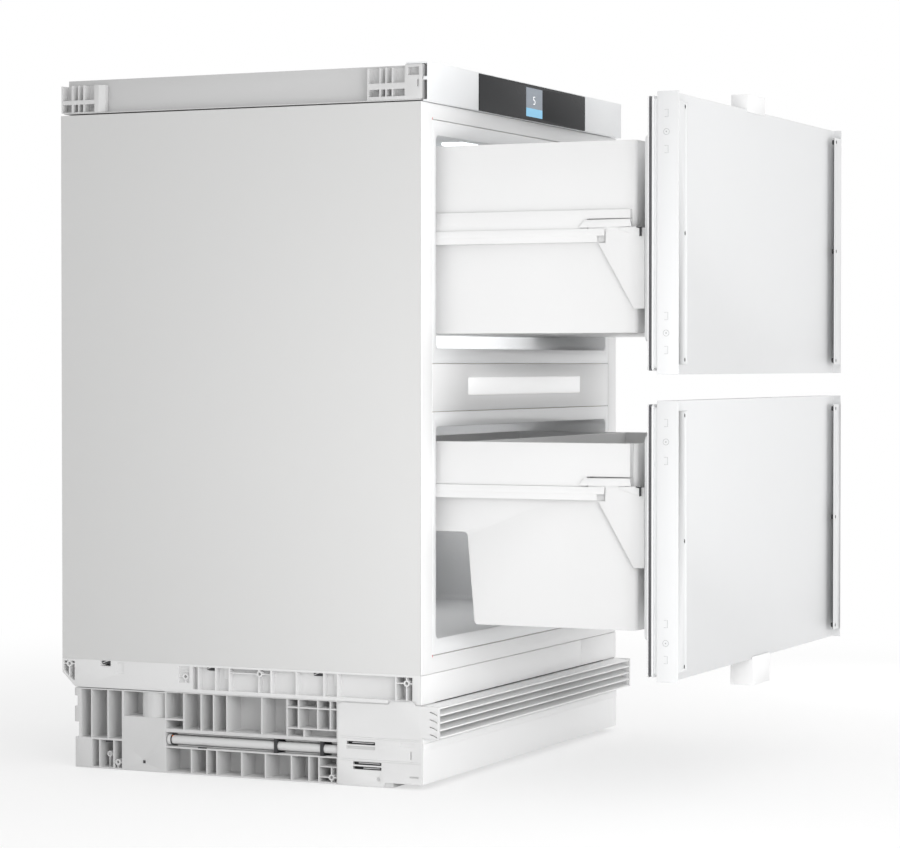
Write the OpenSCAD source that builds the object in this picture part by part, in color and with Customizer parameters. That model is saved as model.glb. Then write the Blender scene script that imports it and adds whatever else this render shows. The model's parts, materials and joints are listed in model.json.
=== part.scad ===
// Undercounter drawer refrigerator: an insulated cabinet with two compartments on a ribbed base,
// and a drawer on telescopic rails in each compartment. Millimetres, +Z up. The origin lies on the
// floor under the middle of the cabinet, and the drawers pull out towards -Y.
// Modules draw in depths measured from the cabinet's front face; seat() moves them into place.

/* [Cabinet] */
// Width over the side panels
cab_w = 597; // [570:1:640]
// Depth from the front face to the rear panel
cab_d = 475; // [470:1:520]
// Height of the base, up to the lower edge of the side panels
base_h = 129; // [122:1:140]
// Thickness of the steel skins
skin = 1; // [0.8:0.1:1.4]
// Thickness of the front frame
frame_t = 2; // [1.5:0.1:3]
// Insulation beside a compartment, from the outside face to the liner's inner face
side_wall = 38; // [34:1:46]
// Face width of the liners' front flanges beside an opening
liner_lip = 9.8; // [7:0.1:12]
// Face height of the liners' front flanges towards the middle
lip_h = 17; // [14:0.5:20]
// Wall thickness of the plastic liners
liner_t = 1.5; // [1:0.1:2.5]
// Corner radius of the compartments
liner_r = 7; // [4:0.5:12]
// Insulation behind the compartments, from the outside face to the liner
rear_wall = 50; // [44:1:56]

/* [Console] */
// Height of the console above the side panels
console_h = 44.5; // [40:0.5:50]
// How far the console stands in front of the front face
console_out = 7.5; // [5:0.5:12]
// Wall thickness of the console
console_t = 2; // [1.5:0.1:3]
// Width of the control glass
glass_w = 329; // [300:1:360]
// Offset of the control glass from the middle
glass_x = 6; // [-10:1:10]
// Width of the display window
display_w = 50; // [40:1:60]
// Distance of the display window from the console's upper and lower edges
display_edge = 4.75; // [4:0.25:10]
// Step from the side panel in to the raised top cover
shoulder = 13.5; // [10:0.5:18]

/* [Doors] */
// Height of the lower door
lower_door_h = 305.5; // [300:0.5:315]
// Height of the upper door
upper_door_h = 306.5; // [300:0.5:315]
// Gap between the two doors
door_gap = 28.5; // [26:0.5:34]
// Gap from the base up to the lower door
sill = 6; // [4:0.5:9]
// How much narrower a door is than the cabinet, on each side
door_inset = 1; // [0:0.5:3]
// Depth of a door's side walls
door_rim = 25; // [23:0.5:30]
// Distance from the flange front back to the door's face
face_set = 10.5; // [8:0.5:12]
// Sheet thickness of the door's steel pan
pan_t = 0.8; // [0.6:0.1:1.2]
// Width of the screw flanges that carry the furniture front
flange_w = 29; // [26:0.5:32]
// Distance of the screw flanges from the door's ends
flange_end = 10.5; // [8:0.5:13]
// Distance from a flange's outer edge to its screw holes
hole_in = 20.5; // [16:0.5:22]
// Diameter of the screw holes
hole_d = 4.6; // [3.5:0.1:6]
// Distance from a door's ends to its outer screw holes
hole_end = 16; // [14:0.5:22]
// Gasket thickness between the door liner and the front face
gasket_t = 5.2; // [4.5:0.1:7]
// Width of the hanging blocks
hang_w = 60; // [50:1:70]
// How far the drawers are pulled out
drawer_out = 268; // [120:1:300]

/* [Compartments] */
// Height of the lower compartment's floor above the bottom of its door
lower_lap_low = 32.7; // [28:0.1:36]
// Height of the lower door's top above the lower compartment's ceiling
lower_lap_high = 31.5; // [28:0.1:36]
// Height of the upper compartment's floor above the bottom of its door
upper_lap_low = 29; // [26:0.1:34]
// Height of the upper door's top above the upper compartment's ceiling
upper_lap_high = 35.5; // [30:0.1:40]
// Height of the step over the machine space, above the lower compartment's floor
hump_h = 117; // [110:1:124]
// Insulation between the step and the machine space
hump_wall = 31; // [28:1:36]
// Length of the light housing between the compartments
light_bar_l = 344; // [320:2:370]
// Height of the light housing between the compartments
light_bar_h = 20; // [16:0.5:22]
// Length of the ceiling light
lamp_l = 300; // [260:5:340]
// Width of the ceiling light
lamp_w = 26; // [20:1:32]

/* [Drawers] */
// Gap between a container and its rails
rail_side = 1.8; // [1.5:0.1:3]
// Gap between the drawer rails and the cabinet rails' wall plates
wall_gap = 1.7; // [1.2:0.1:3]
// Width of the cabinet rails' tongue
web_w = 3.6; // [3:0.1:5]
// Clearance under a container
floor_clear = 17; // [12:0.5:22]
// Clearance of the upper container's rim under the ceiling
upper_rim_clear = 12; // [8:0.5:20]
// Clearance of the lower container's rim under the ceiling
lower_rim_clear = 16.5; // [8:0.5:24]
// Distance from the upper ceiling down to the rails
upper_rail_drop = 109.5; // [100:0.5:118]
// Distance from the lower ceiling down to the rails
lower_rail_drop = 65; // [58:0.5:74]
// Depth behind the front face at which the containers begin
box_front = 29.4; // [28:0.1:36]
// Clearance between the containers and the duct cover
rear_clear = 7; // [5:0.5:12]
// Clearance between the lower container and the step
deep_clear = 10; // [7:0.5:16]
// Wall thickness of the containers
box_t = 2.5; // [2:0.1:3.5]
// Corner radius of the containers
box_r = 5; // [4:1:18]
// Height of the rail profiles
rail_h = 15; // [13:0.5:18]
// Sheet thickness of the rail profiles
rail_t = 1.2; // [1:0.1:1.5]
// Running clearance between the rail profiles
rail_gap = 0.4; // [0.3:0.05:0.5]
// Depth at which a drawer rail begins
rail_front = 64; // [60:1:70]

/* [Base] */
// Height of the band under the side panels
band_h = 33; // [30:0.5:38]
// Rib thickness
rib = 1.6; // [1.2:0.1:2.4]
// Length of the front cheeks
cheek_l = 107; // [100:1:115]
// How far the vent grille stands in front of the front face
grille_out = 20.5; // [18:0.5:26]
// Height of the vent grille
grille_h = 36; // [32:0.5:40]
// Number of blades in the vent grille
blades = 5; // [4:1:6]
// Thickness of a grille blade
blade_t = 2.4; // [1.6:0.1:3]
// Clearance of the plinth panel above the floor
plinth_gap = 5.5; // [3:0.5:9]
// Radius of the feet's threaded spindles
foot_r = 7; // [6:0.5:8]
// Material beside a foot's pad and beside its spindle
foot_wall = 1.5; // [1.2:0.1:2.5]
// Radius of the feet's pads
pad_r = 15; // [12:0.5:16]
// Thickness of the feet's pads
pad_t = 7; // [5:0.5:9]
// Radius of the height adjusting rods
rod_r = 5; // [4:0.25:5.5]
// Depth at which a height adjusting rod begins
rod_y0 = 12; // [8:1:20]

/* [Machine space] */
// Height of the machine space above the floor
machine_h = 246; // [240:1:250]
// Depth of the machine space
machine_d = 198; // [192:1:204]
// Radius of the compressor shell
comp_r = 62; // [55:1:66]
// Radius of the condenser fan
fan_r = 52; // [44:1:56]
// Number of blades on each fan
fan_blades = 5; // [4:1:7]
// Radius of the evaporator fan
evap_fan_r = 34; // [28:1:38]
// Radius of the fan motor shafts
shaft_r = 2.5; // [2:0.1:3]

/* [Fits] */
// Gap between fixed neighbours that aren't face to face
fit = 0.3; // [0.2:0.05:0.4]
// Radial clearance where something turns or slides in a bore
run = 0.06; // [0.03:0.01:0.09]

/* [Hidden] */
$fn = 48;

half_w = cab_w/2;
cavity_d = cab_d - rear_wall;
machine_y = cab_d - machine_d;
hump_y = machine_y - hump_wall;
duct_y = cavity_d - 33;
box_rear = duct_y - rear_clear;
deep_rear = hump_y - deep_clear;
in_w = half_w - side_wall;
lip_w = in_w + liner_lip;
lower_door_z = base_h + sill;
lower_door_top = lower_door_z + lower_door_h;
upper_door_z = lower_door_top + door_gap;
body_top = upper_door_z + upper_door_h;
total_h = body_top + console_h;
cover_h = console_h - console_t - fit;
lower_floor = lower_door_z + lower_lap_low;
lower_ceiling = lower_door_top - lower_lap_high;
upper_floor = upper_door_z + upper_lap_low;
upper_ceiling = body_top - upper_lap_high;
hump_top = lower_floor + hump_h;

door_w = half_w - door_inset;
liner_flange_t = 2;
liner_step_t = 5.5;
rim_y = -gasket_t - fit - liner_flange_t - liner_step_t;
flange_y = rim_y - door_rim;
face_y = flange_y + face_set;
plug_in = 18;
plug_gap = 7.5;

bracket_y1 = 21;

// Depth profile pieces of a drawer: [door bottom, door top, opening bottom, opening top,
// top of the rails, container rim]
upper = [upper_door_z, body_top, upper_floor, upper_ceiling,
    upper_ceiling - upper_rail_drop, upper_ceiling - upper_rim_clear];
lower = [lower_door_z, lower_door_top, lower_floor, lower_ceiling,
    lower_ceiling - lower_rail_drop, lower_ceiling - lower_rim_clear];

// Half widths of the rail profiles, from the container outwards
plate_t = rail_t - 0.2;
dr_out = in_w - plate_t - wall_gap;
mid_out = dr_out - rail_t - rail_gap;
web_in = mid_out - rail_t - rail_gap - web_w;
mid_in = web_in - rail_gap - rail_t;
dr_in = mid_in - rail_gap - rail_t;
body_half = dr_in - rail_side;
ledge_w = body_half + 8.6;
neck_w = body_half + 3;
rail_rear = box_rear;
cab_rail_front = rail_front + 12;
rail_foot = rail_h + 3;

band_z = base_h - band_h;
carrier_out = half_w - rib;
foot_in = 2*foot_wall + 2*rod_r + foot_r;
carrier_w = foot_in + pad_r + 2*foot_wall;
carrier_in = carrier_out - carrier_w;
carrier_rear = cab_d - 17;
grille_z = band_z - 1.5 - grille_h;
foot_x = carrier_out - foot_in;
front_foot_y = 54;
gear_l = 56;
gear_y = carrier_rear - 123;
rear_foot_y = gear_y + 19;
rod_end = gear_y - 3;
rod_x = carrier_out - rod_r - foot_wall;
rod_z = 39;
spindle_h = 62;
socket_h = 24;

comp_x = 96;
comp_y = cab_d - 100;
comp_h = 150;
mount_h = 12;
tray_t = 1.5;
fan_x = -carrier_in + 108.9;
fan_z = 92;
cond_y0 = machine_y + 23;
cond_y1 = cond_y0 + 40;
shroud_y = cond_y1 + 3;
fan_y = shroud_y + 8;
fan_t = 22;
evap_y0 = duct_y + 5;
evap_y1 = duct_y + 27;
evap_half = in_w - 60.5;
evap_fan_z = upper_ceiling - 52;

cover_color = [0.86, 0.86, 0.86];
white = [0.95, 0.95, 0.95];
panel_grey = [0.80, 0.80, 0.80];
rib_grey = [0.83, 0.83, 0.83];
steel = [0.72, 0.73, 0.74];
black = [0.10, 0.10, 0.11];

// ---- helpers

// Moves front-face depths to the model's place
module seat() {
    translate([0, -cab_d/2, 0]) children();
}

// Moves a part of a drawer out with it; share is 1 for the drawer and 0.5 for its middle rails
module drawn(share = 1) {
    translate([0, -cab_d/2 - share*drawer_out, 0]) children();
}

module block(lo, hi) {
    translate(lo) cube(hi - lo);
}

module both_sides() {
    children();
    mirror([1, 0, 0]) children();
}

// Draws on the left where left is true; parts are drawn on the right
module hand(left) {
    if (left) {
        mirror([1, 0, 0]) children();
    } else {
        children();
    }
}

module round_rect(x0, x1, z0, z1, r) {
    translate([x0 + r, z0]) square([x1 - x0 - 2*r, z1 - z0]);
    translate([x0, z0 + r]) square([x1 - x0, z1 - z0 - 2*r]);
    for (x = [x0 + r, x1 - r], z = [z0 + r, z1 - r]) {
        translate([x, z]) circle(r);
    }
}

// A plate with round corners, seen from the front, between two depths
module front_slab(x0, x1, z0, z1, r, y0, y1) {
    translate([0, y1, 0]) rotate([90, 0, 0]) linear_extrude(y1 - y0) {
        round_rect(x0, x1, z0, z1, r);
    }
}

// An outline in depth and height, carried across from x0 to x1
module side_slab(points, x0, x1) {
    translate([x0, 0, 0]) rotate([90, 0, 90]) linear_extrude(x1 - x0) polygon(points);
}

// An outline in width and height, carried through the depth
module depth_slab(points, y0, y1) {
    translate([0, y1, 0]) rotate([90, 0, 0]) linear_extrude(y1 - y0) polygon(points);
}

module bar_y(x, y0, y1, z, r) {
    translate([x, y0, z]) rotate([-90, 0, 0]) cylinder(h = y1 - y0, r = r);
}

// Rib positions that fall between two ends, with the ends themselves
function between(ribs, lo, hi) = concat([lo], [for (r = ribs) if (r > lo + 4 && r < hi - 4) r], [hi]);

// Pockets between neighbouring ribs, cut from the outside face inwards
module cells(ribs, z0, z1, outer, depth) {
    for (i = [0 : len(ribs) - 2]) {
        block([outer - depth, ribs[i] + rib/2, z0], [outer + 1, ribs[i + 1] - rib/2, z1]);
    }
}

// ---- cabinet

module side_panel(left) {
    seat() color(panel_grey) hand(left) {
        block([half_w - skin, frame_t, base_h], [half_w, cab_d, body_top]);
        block([half_w - 12, frame_t + fit, body_top - skin], [half_w - skin, cab_d - skin - fit, body_top]);
    }
}

module side_panel_left() {
    side_panel(true);
}

module side_panel_right() {
    side_panel(false);
}

// One bent sheet: the rear wall above the machine space, and the roof
module rear_and_roof() {
    edge = half_w - skin - fit;
    seat() color(panel_grey) {
        block([-edge, cab_d - skin, machine_h + skin + fit], [edge, cab_d, body_top - skin - fit]);
        block([-half_w + 12 + fit, cab_d - skin, body_top - 2*skin], [half_w - 12 - fit, cab_d, body_top]);
        block([-half_w + 12 + fit, frame_t + fit, body_top - skin], [half_w - 12 - fit, cab_d, body_top]);
    }
}

module machine_cover() {
    edge = half_w - skin - fit;
    seat() color(panel_grey) difference() {
        block([-edge, cab_d - skin, base_h], [edge, cab_d, machine_h + skin]);
        for (x = [-220 : 22 : 44], z = [base_h + 22, base_h + 66]) {
            block([x, cab_d - skin - 1, z], [x + 12, cab_d + 1, z + 30]);
        }
    }
}

// Bent sheet: floor under the lower compartment, riser and roof of the machine space
module floor_pan() {
    edge = half_w - skin - fit;
    rear = cab_d - skin - fit;
    seat() color(steel) side_slab([
        [frame_t + fit, base_h], [machine_y, base_h], [machine_y, machine_h], [rear, machine_h],
        [rear, machine_h + skin], [machine_y - skin, machine_h + skin],
        [machine_y - skin, base_h + skin], [frame_t + fit, base_h + skin]
    ], -edge, edge);
}

module top_cover() {
    wall = 1.2;
    low = body_top + 1.6;
    top = body_top + cover_h;
    edge = half_w - 0.6;
    in = half_w - shoulder;
    seat() color(cover_color) {
        depth_slab([
            [-edge, low], [-in + wall, low], [-in + wall, top - wall], [in - wall, top - wall],
            [in - wall, low], [edge, low], [edge, low + wall], [in, low + wall], [in, top],
            [-in, top], [-in, low + wall], [-edge, low + wall]
        ], frame_t, cab_d - 4);
        block([-in, cab_d - 4, low], [in, cab_d - 4 + wall, top]);
        for (s = [-1, 1]) {
            block([s*(in - 4) - 3, frame_t, body_top], [s*(in - 4) + 3, cab_d - 6, low]);
        }
    }
}

// Moulded ring around both liners, with a lip that reaches in behind the side panels
module front_frame() {
    tuck = half_w - skin - fit;
    seat() color(white) difference() {
        union() {
            block([-half_w, 0, base_h], [half_w, frame_t, body_top]);
            block([-tuck, frame_t, base_h + skin + fit], [tuck, 10, body_top - skin - fit]);
        }
        block([-lip_w - 0.5, -1, upper_floor - lip_h - 0.5], [lip_w + 0.5, 11, body_top - 18]);
        block([-lip_w - 0.5, -1, base_h + 20], [lip_w + 0.5, 11, lower_ceiling + lip_h + 0.5]);
        block([-lip_w - 0.5, -1, lower_ceiling + lip_h - 1], [lip_w + 0.5, 11, upper_floor - lip_h + 1]);
        block([-in_w - liner_t - fit, frame_t + 1, base_h + 12],
              [in_w + liner_t + fit, 11, body_top - 12]);
    }
}

// Compartment hollow between two heights
module cavity(z0, z1, grow, front, rear) {
    front_slab(-in_w - grow, in_w + grow, z0 - grow, z1 + grow, liner_r + grow, front, rear + grow);
}

module upper_liner() {
    seat() color(white) difference() {
        union() {
            cavity(upper_floor, upper_ceiling, liner_t, 0, cavity_d);
            block([-lip_w, 0, upper_floor - lip_h], [lip_w, frame_t, body_top - 18 - 0.5]);
        }
        cavity(upper_floor, upper_ceiling, 0, -1, cavity_d);
    }
}

module lower_liner() {
    seat() color(white) difference() {
        union() {
            difference() {
                cavity(lower_floor, lower_ceiling, liner_t, 0, cavity_d);
                hump(-liner_t, 1);
            }
            block([-lip_w, 0, base_h + 20.5], [lip_w, frame_t, lower_ceiling + lip_h]);
        }
        difference() {
            cavity(lower_floor, lower_ceiling, 0, -1, cavity_d);
            hump(0, 0);
        }
    }
}

// Step of the lower compartment over the machine space; grow < 0 gives its inner face
module hump(grow, over) {
    block([-in_w - 20, hump_y - grow, lower_floor - 20],
          [in_w + 20, cab_d + over, hump_top + grow]);
}

module insulation() {
    edge = half_w - skin - fit;
    rear = cab_d - skin - fit;
    hollow = liner_t + fit;
    seat() color([0.93, 0.88, 0.72]) difference() {
        side_slab([
            [10 + fit, base_h + skin + fit], [machine_y - skin - fit, base_h + skin + fit],
            [machine_y - skin - fit, machine_h + skin + fit], [rear, machine_h + skin + fit],
            [rear, body_top - skin - fit], [10 + fit, body_top - skin - fit]
        ], -edge, edge);
        cavity(upper_floor, upper_ceiling, hollow, -1, cavity_d);
        difference() {
            cavity(lower_floor, lower_ceiling, hollow, -1, cavity_d);
            hump(-hollow, 1);
        }
    }
}

module mid_rail_cover() {
    seat() color(white) {
        block([-lip_w, 0, lower_ceiling + lip_h + fit], [lip_w, frame_t, upper_floor - lip_h - fit]);
        block([-lip_w + 10, frame_t, lower_ceiling + lip_h + 8],
              [lip_w - 10, 9, upper_floor - lip_h - 8]);
    }
}

// Low trapezium housing of the light that shines down into the lower drawer
module light_bar() {
    half = light_bar_l/2;
    ramp = 18;
    out = 6;
    mid = (lower_door_top + upper_door_z)/2;
    seat() color(white) translate([0, 0, mid - light_bar_h/2]) linear_extrude(light_bar_h) {
        polygon([[-half, 0], [-half + ramp, -out], [half - ramp, -out], [half, 0]]);
    }
}

module ceiling_light() {
    seat() color([0.97, 0.98, 1])
        block([-lamp_l/2, plug_in, upper_ceiling - 3], [lamp_l/2, plug_in + lamp_w, upper_ceiling]);
}

module console() {
    edge = half_w - 1.5;
    back = bracket_y1 - fit;
    glass_l = glass_x - glass_w/2 - fit;
    glass_r = glass_x + glass_w/2 + fit;
    z0 = body_top;
    front = -console_out;
    seat() color(white) difference() {
        union() {
            side_slab([
                [front, z0], [-0.5, z0], [-0.5, z0 + console_t], [front + console_t, z0 + console_t],
                [front + console_t, total_h - console_t], [back, total_h - console_t],
                [back, total_h], [front, total_h]
            ], -edge, edge);
            for (s = [-1, 1]) {
                block([s*(edge - 3) - 3, front + console_t, z0 + 24],
                      [s*(edge - 3) + 3, -1, z0 + 28]);
            }
        }
        block([glass_l, front - 1, z0 - 1], [glass_r, front + console_t + 1, total_h - 1]);
    }
}

module control_glass() {
    z0 = body_top + fit;
    z1 = total_h - 1 - fit;
    x0 = glass_x - glass_w/2;
    x1 = glass_x + glass_w/2;
    front = -console_out - 0.3;
    mid = glass_x - 0.4;
    seat() color(black) difference() {
        front_slab(x0, x1, z0, z1, 1.5, front, front + console_t + 0.9);
        display_window(front - 1, front + 0.8, 0.1);
    }
}

module display_window(y0, y1, grow) {
    block([glass_x - display_w/2 - grow, y0, body_top + display_edge - grow],
          [glass_x + display_w/2 + grow, y1, total_h - display_edge + grow]);
}

module display() {
    front = -console_out - 0.3;
    seat() color([0.55, 0.75, 0.85]) display_window(front, front + 0.8, 0);
}

// Corner brackets on the shoulder: ribbed cells at the rear and front, and the front fixing block
module top_brackets() {
    out = half_w - 0.3;
    in = half_w - shoulder + fit;
    low = body_top + 1.6 + 1.2;
    top = body_top + cover_h - 3;
    seat() color(rib_grey) both_sides() {
        difference() {
            block([in, cab_d - 58, low], [out, cab_d - 0.5, top - 4]);
            for (c = [[2.5, 14.5], [17, 23.5], [24.5, 30.5], [32.3, 46]]) {
                block([in + 2, cab_d - c[1], low + 15], [out + 1, cab_d - c[0], top]);
                block([in + 1, cab_d - c[1], low + 1], [out + 1, cab_d - c[0], low + 10]);
            }
            translate([out, cab_d - 58, 0]) rotate([0, 0, 45])
                block([-4, -4, low - 1], [4, 4, top + 1]);
        }
        difference() {
            union() {
                block([in, bracket_y1 - 1, low], [out, 69, top]);
                block([in, 0.2, low], [out, bracket_y1, total_h - console_t - fit]);
            }
            for (c = [[36.5, 21.8], [44.6, 38], [52, 46], [67, 53.6]]) {
                block([in + 2, c[1], low + 19], [out + 1, c[0], top + 1]);
                block([in + 1, c[1], low + 4], [out + 1, c[0], low + 12]);
            }
            block([out - 8, 4, low + 27], [out + 1, 17.5, low + 36]);
            block([out - 3, 4, low + 14], [out + 1, 6.5, low + 22]);
        }
    }
}

// ---- base

// Ribbed rails under the side panels, joined to the carriers below
module base_bands() {
    ribs = between([107, 124.5, 160, 193, 209, 248, 266, 289], 33, 297.5);
    out = half_w;
    bottom = band_z + 2.5;
    roof = base_h - 1;
    face = out - 0.6;
    rear_in = cab_d - 17;
    bosses = [[306.8, base_h - 14.5], [208.5, base_h - 7.4], [cab_d - 9, base_h - 6], [19.8, base_h - 9.6]];
    seat() color(rib_grey) both_sides() difference() {
        union() {
            difference() {
                side_slab([
                    [frame_t, base_h], [cab_d, base_h], [cab_d, base_h - 16],
                    [cab_d - 15, bottom], [cab_d - 18, band_z], [frame_t, band_z]
                ], out - 30, out);
                cells(ribs, bottom + rib, roof - rib, out, 9);
                side_slab([
                    [rear_in, bottom + 5.5], [rear_in + 1.5, bottom + 4.2], [cab_d - rib, base_h - 14.5],
                    [cab_d - rib, roof - rib], [rear_in, roof - rib]
                ], out - 22, out + 1);
                block([out - 20, 12, bottom + rib], [out + 1, 33 - rib/2, roof - rib]);
                block([out - 20, 408, roof - 6], [out + 1, 422, roof + 0.5]);
                block([out - 1.2, 390, base_h - 15], [out + 1, 399, roof - 1]);
                block([out - 3, 301, bottom + 9], [out + 1, 315, roof - rib]);
                for (y = [267.5, 127]) {
                    block([out - 24, y, roof - 6], [out + 1, y + 12, roof - rib + 0.1]);
                }
            }
            // Ribs that cross in the end pockets, and the lighter ones in the shallow cells
            crossed(bosses[2], rear_in - 1, cab_d - 1, bottom + 7, roof - 1, out - 22.5, face);
            crossed(bosses[3], 11, 33, bottom + 1, roof - 1, out - 20.5, face);
            crossed(bosses[0], 300, 316, bottom + 8, bosses[0][1], out - 3.5, face);
            crossed(bosses[1], 192, 249, bosses[1][1], roof - 1, out - 9.5, face);
            block([out - 3.5, 300, base_h - 9], [face, 316, base_h - 7.8]);
            block([out - 9.5, 248, base_h - 15.3], [out - 5, 257, roof - 1]);
            block([out - 9.5, 107, base_h - 17], [out - 5, 113.6, roof - 1]);
            // Light tongue across the rear slot
            side_slab([[408, roof - 1.4], [411, roof - 1.4], [422, roof - 4.4], [422, roof - 5.8]],
                      out - 8, out - 5);
        }
        // Room for the raised edge of the cheek
        block([carrier_out - 0.15, 7.2, band_z - 1], [out + 1, 42.8, band_z + 3.4]);
        for (b = bosses) {
            translate([out - 12, b[0], b[1]]) rotate([0, 90, 0]) cylinder(h = 14, r = 2);
        }
    }
}

// Two ribs that cross in a round boss, p being its depth and height
module crossed(p, y0, y1, z0, z1, inner, outer) {
    block([inner, y0, p[1] - 0.6], [outer, y1, p[1] + 0.6]);
    block([inner, p[0] - 0.6, z0], [outer, p[0] + 0.6, z1]);
    translate([inner, p[0], p[1]]) rotate([0, 90, 0]) cylinder(h = outer - inner, r = 3.6);
}

module fascia_strip() {
    split = 177.5;
    seat() color(white) {
        block([-half_w, 0, band_z], [split - 0.3, frame_t - 0.2, base_h - 0.4]);
        block([split + 0.3, 0, band_z], [half_w, frame_t - 0.2, base_h - 0.4]);
        block([-half_w + 30 + fit, frame_t - 0.2, band_z + 4],
              [half_w - 30 - fit, 8, base_h - fit]);
    }
}

module base_carrier(left) {
    out = carrier_out;
    rear = carrier_rear;
    top = band_z;
    front_cell = cheek_l + 1;
    deep = carrier_w - 5;
    grid_end = gear_y - 162.1;
    last_rib = gear_y - 25.3;
    tail = gear_y + gear_l + 2;
    high = top - 44;
    upper_ribs = between([206, 252, 269.7, 286.4], grid_end, last_rib);
    tail_ribs = between([rear - 45, rear - 22.5], tail, rear - 7.5);
    bosses = [[rear - 44, 17], [rear - 58, 8.4], [gear_y - 219, 7]];
    low_ribs = between([131.7, 144.6, 167.3, 201.3, 232.5, 265.4, 278.8, 299.5], front_cell, gear_y - 1);
    grid_ribs = between([116.9, 133.2, 158.1], front_cell, grid_end);
    seat() color(rib_grey) hand(left) difference() {
      union() {
       difference() {
        union() {
            block([carrier_in, frame_t, 0], [out, cheek_l - 1, top]);
            block([carrier_in, cheek_l - 1, 0], [out, gear_y, top]);
            block([carrier_in, gear_y, 0], [out, rear, top - 1]);
            block([carrier_in, rear - 1, 54], [out - 3, rear + 2.6, top - 24]);
            block([carrier_in, rear - 1, top - 11], [out - 3, rear + 2.6, top - 2]);
        }
        // Room under the plinth panel's foot
        block([carrier_in - 1, -1, -1], [out + 1, front_foot_y - pad_r - 2, plinth_gap]);
        // Rear end steps
        block([carrier_in + 4, rear - 5, 36], [out + 1, rear + 4, 54]);
        block([carrier_in + 4, rear - 3, top - 23], [out + 1, rear + 4, top - 11]);
        // Tall cells behind the gear housing, and the row below them
        cells(tail_ribs, 36, top - 2.6, out, deep);
        cells([tail, rear - 53, rear - 33.5, rear - 22.5], rib, 34, out, deep);
        block([carrier_in - 1, rear - 51, 30], [carrier_in + 6, rear - 42, 33]);
        // Round spindle housing over the gear cover
        difference() {
            block([carrier_in + 5, gear_y, 64], [out + 1, gear_y + gear_l, top - 2.6]);
            translate([foot_x, rear_foot_y, 60]) cylinder(h = 40, r = foot_in - 0.4);
        }
        // Middle cells above the adjusting rod
        cells(upper_ribs, high, top - rib, out, deep);
        cells([last_rib, gear_y - 1], high + 12, top - rib, out, deep);
        cells([last_rib, gear_y - 1], high, high + 10, out, deep);
        cells(grid_ribs, high + 34, top - rib, out, deep - 8);
        cells(grid_ribs, high + 10, high + 32.4, out, deep - 8);
        cells([front_cell, grid_end - 22, grid_end], high, high + 8.4, out, deep - 14);
        // Channel of the adjusting rod
        block([carrier_in + 14, front_cell, rod_z - 8], [out + 1, gear_y - 1, rod_z + 9]);
        bar_y(rod_x, rod_y0 - 11, front_cell + 1, rod_z, rod_r + run);
        // Lower cells
        cells(low_ribs, rib, 29.4, out, deep);
        for (y = [285, 149]) {
            block([carrier_in - 1, y, 25.4], [carrier_in + 6, y + 10, 28.6]);
        }
        block([carrier_in - 1, 267, 14], [carrier_in + 6, 269, 28]);
        // Front pocket behind the cheek, leaving the tower of the front foot
        block([carrier_in + 3, 74, 56], [out + 1, cheek_l - 3, top - 4]);
        block([carrier_in + 3, frame_t + 4, 72], [out + 1, 70, top - 4]);
        // Hollows behind the two slots of the cheek
        block([out - 11, 50, 18], [out + 1, 88, 28.5]);
        block([out - 11, 58, 45.6], [out + 1, 96, 52]);
        // Spindle bores and pad recesses
        for (y = [front_foot_y, rear_foot_y]) {
            translate([foot_x, y, -1]) cylinder(h = spindle_h + 6, r = foot_r + run);
            translate([foot_x, y, -1]) cylinder(h = pad_t + 1.5, r = pad_r + 1);
        }
       }
       crossed(bosses[0], rear - 53, rear - 44, rib, 17, carrier_in + 4, out - 6);
       crossed(bosses[1], tail - 1, rear - 53, rib/2, 8.4, carrier_in + 4, out - 1);
       crossed(bosses[2], front_cell, 132, rib/2, 19, carrier_in + 4, out - 1);
       block([carrier_in + 4, front_cell, 18.4], [out - 1, 132, 19.6]);
      }
        // Screw holes
        for (p = concat(bosses, [[gear_y + 28, 12]])) {
            translate([out - 8, p[0], p[1]]) rotate([0, 90, 0]) cylinder(h = 10, r = 1.7);
        }
    }
}

module base_carrier_left() {
    base_carrier(true);
}

module base_carrier_right() {
    base_carrier(false);
}

module cheeks() {
    out = half_w;
    in = carrier_out + 0.1;
    top = band_z - 1.5;
    fore = -grille_out;
    seat() color(rib_grey) both_sides() difference() {
        union() {
            side_slab([
                [-0.5, 5.5], [46, 5.5], [48, 0], [cheek_l, 0], [cheek_l, top - 6],
                [cheek_l - 1.8, top - 1.8], [cheek_l - 6, top], [42, top], [39, top + 4.4],
                [11, top + 4.4], [8, top], [-0.5, top]
            ], in, out);
            block([out - 5, fore, grille_z], [out, -0.5, grille_z + grille_h]);
        }
        for (s = [[59, 42], [51, 19]]) {
            block([in - 1, s[0], s[1]], [out + 1, s[0] + 36, s[1] + 3.5]);
            block([in - 1, s[0], s[1] + 5.2], [out + 1, s[0] + 36, s[1] + 8.8]);
        }
        // Gaps between the louvres of the wing beside the grille
        for (i = [0 : blades - 2]) {
            z = grille_z + 0.8 + i*(grille_h - blade_t)/(blades - 1);
            side_slab([
                [fore + 1.6, z], [fore + 6, z + 2.2], [fore + 11, z + 3.5], [fore + 11, z + 4.6],
                [fore + 6, z + 3.3], [fore + 1.6, z + 1.1]
            ], out - 6, out + 1);
        }
        block([out - 0.6, 10, 47.5], [out + 1, 27, 51.5]);
        block([in - 1, 13, 33.5], [out + 1, 14.6, 42.5]);
        block([in - 1, 4.5, 12.6], [out + 1, 15.5, 14.6]);
        translate([in - 1, 55, 9]) rotate([0, 90, 0]) cylinder(h = 6, r = 2.4);
        for (z = [28.6, 30.6, 53.8, 55.8]) {
            block([out - 0.5, 2, z], [out + 1, cheek_l - 3, z + 0.5]);
        }
    }
}

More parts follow.
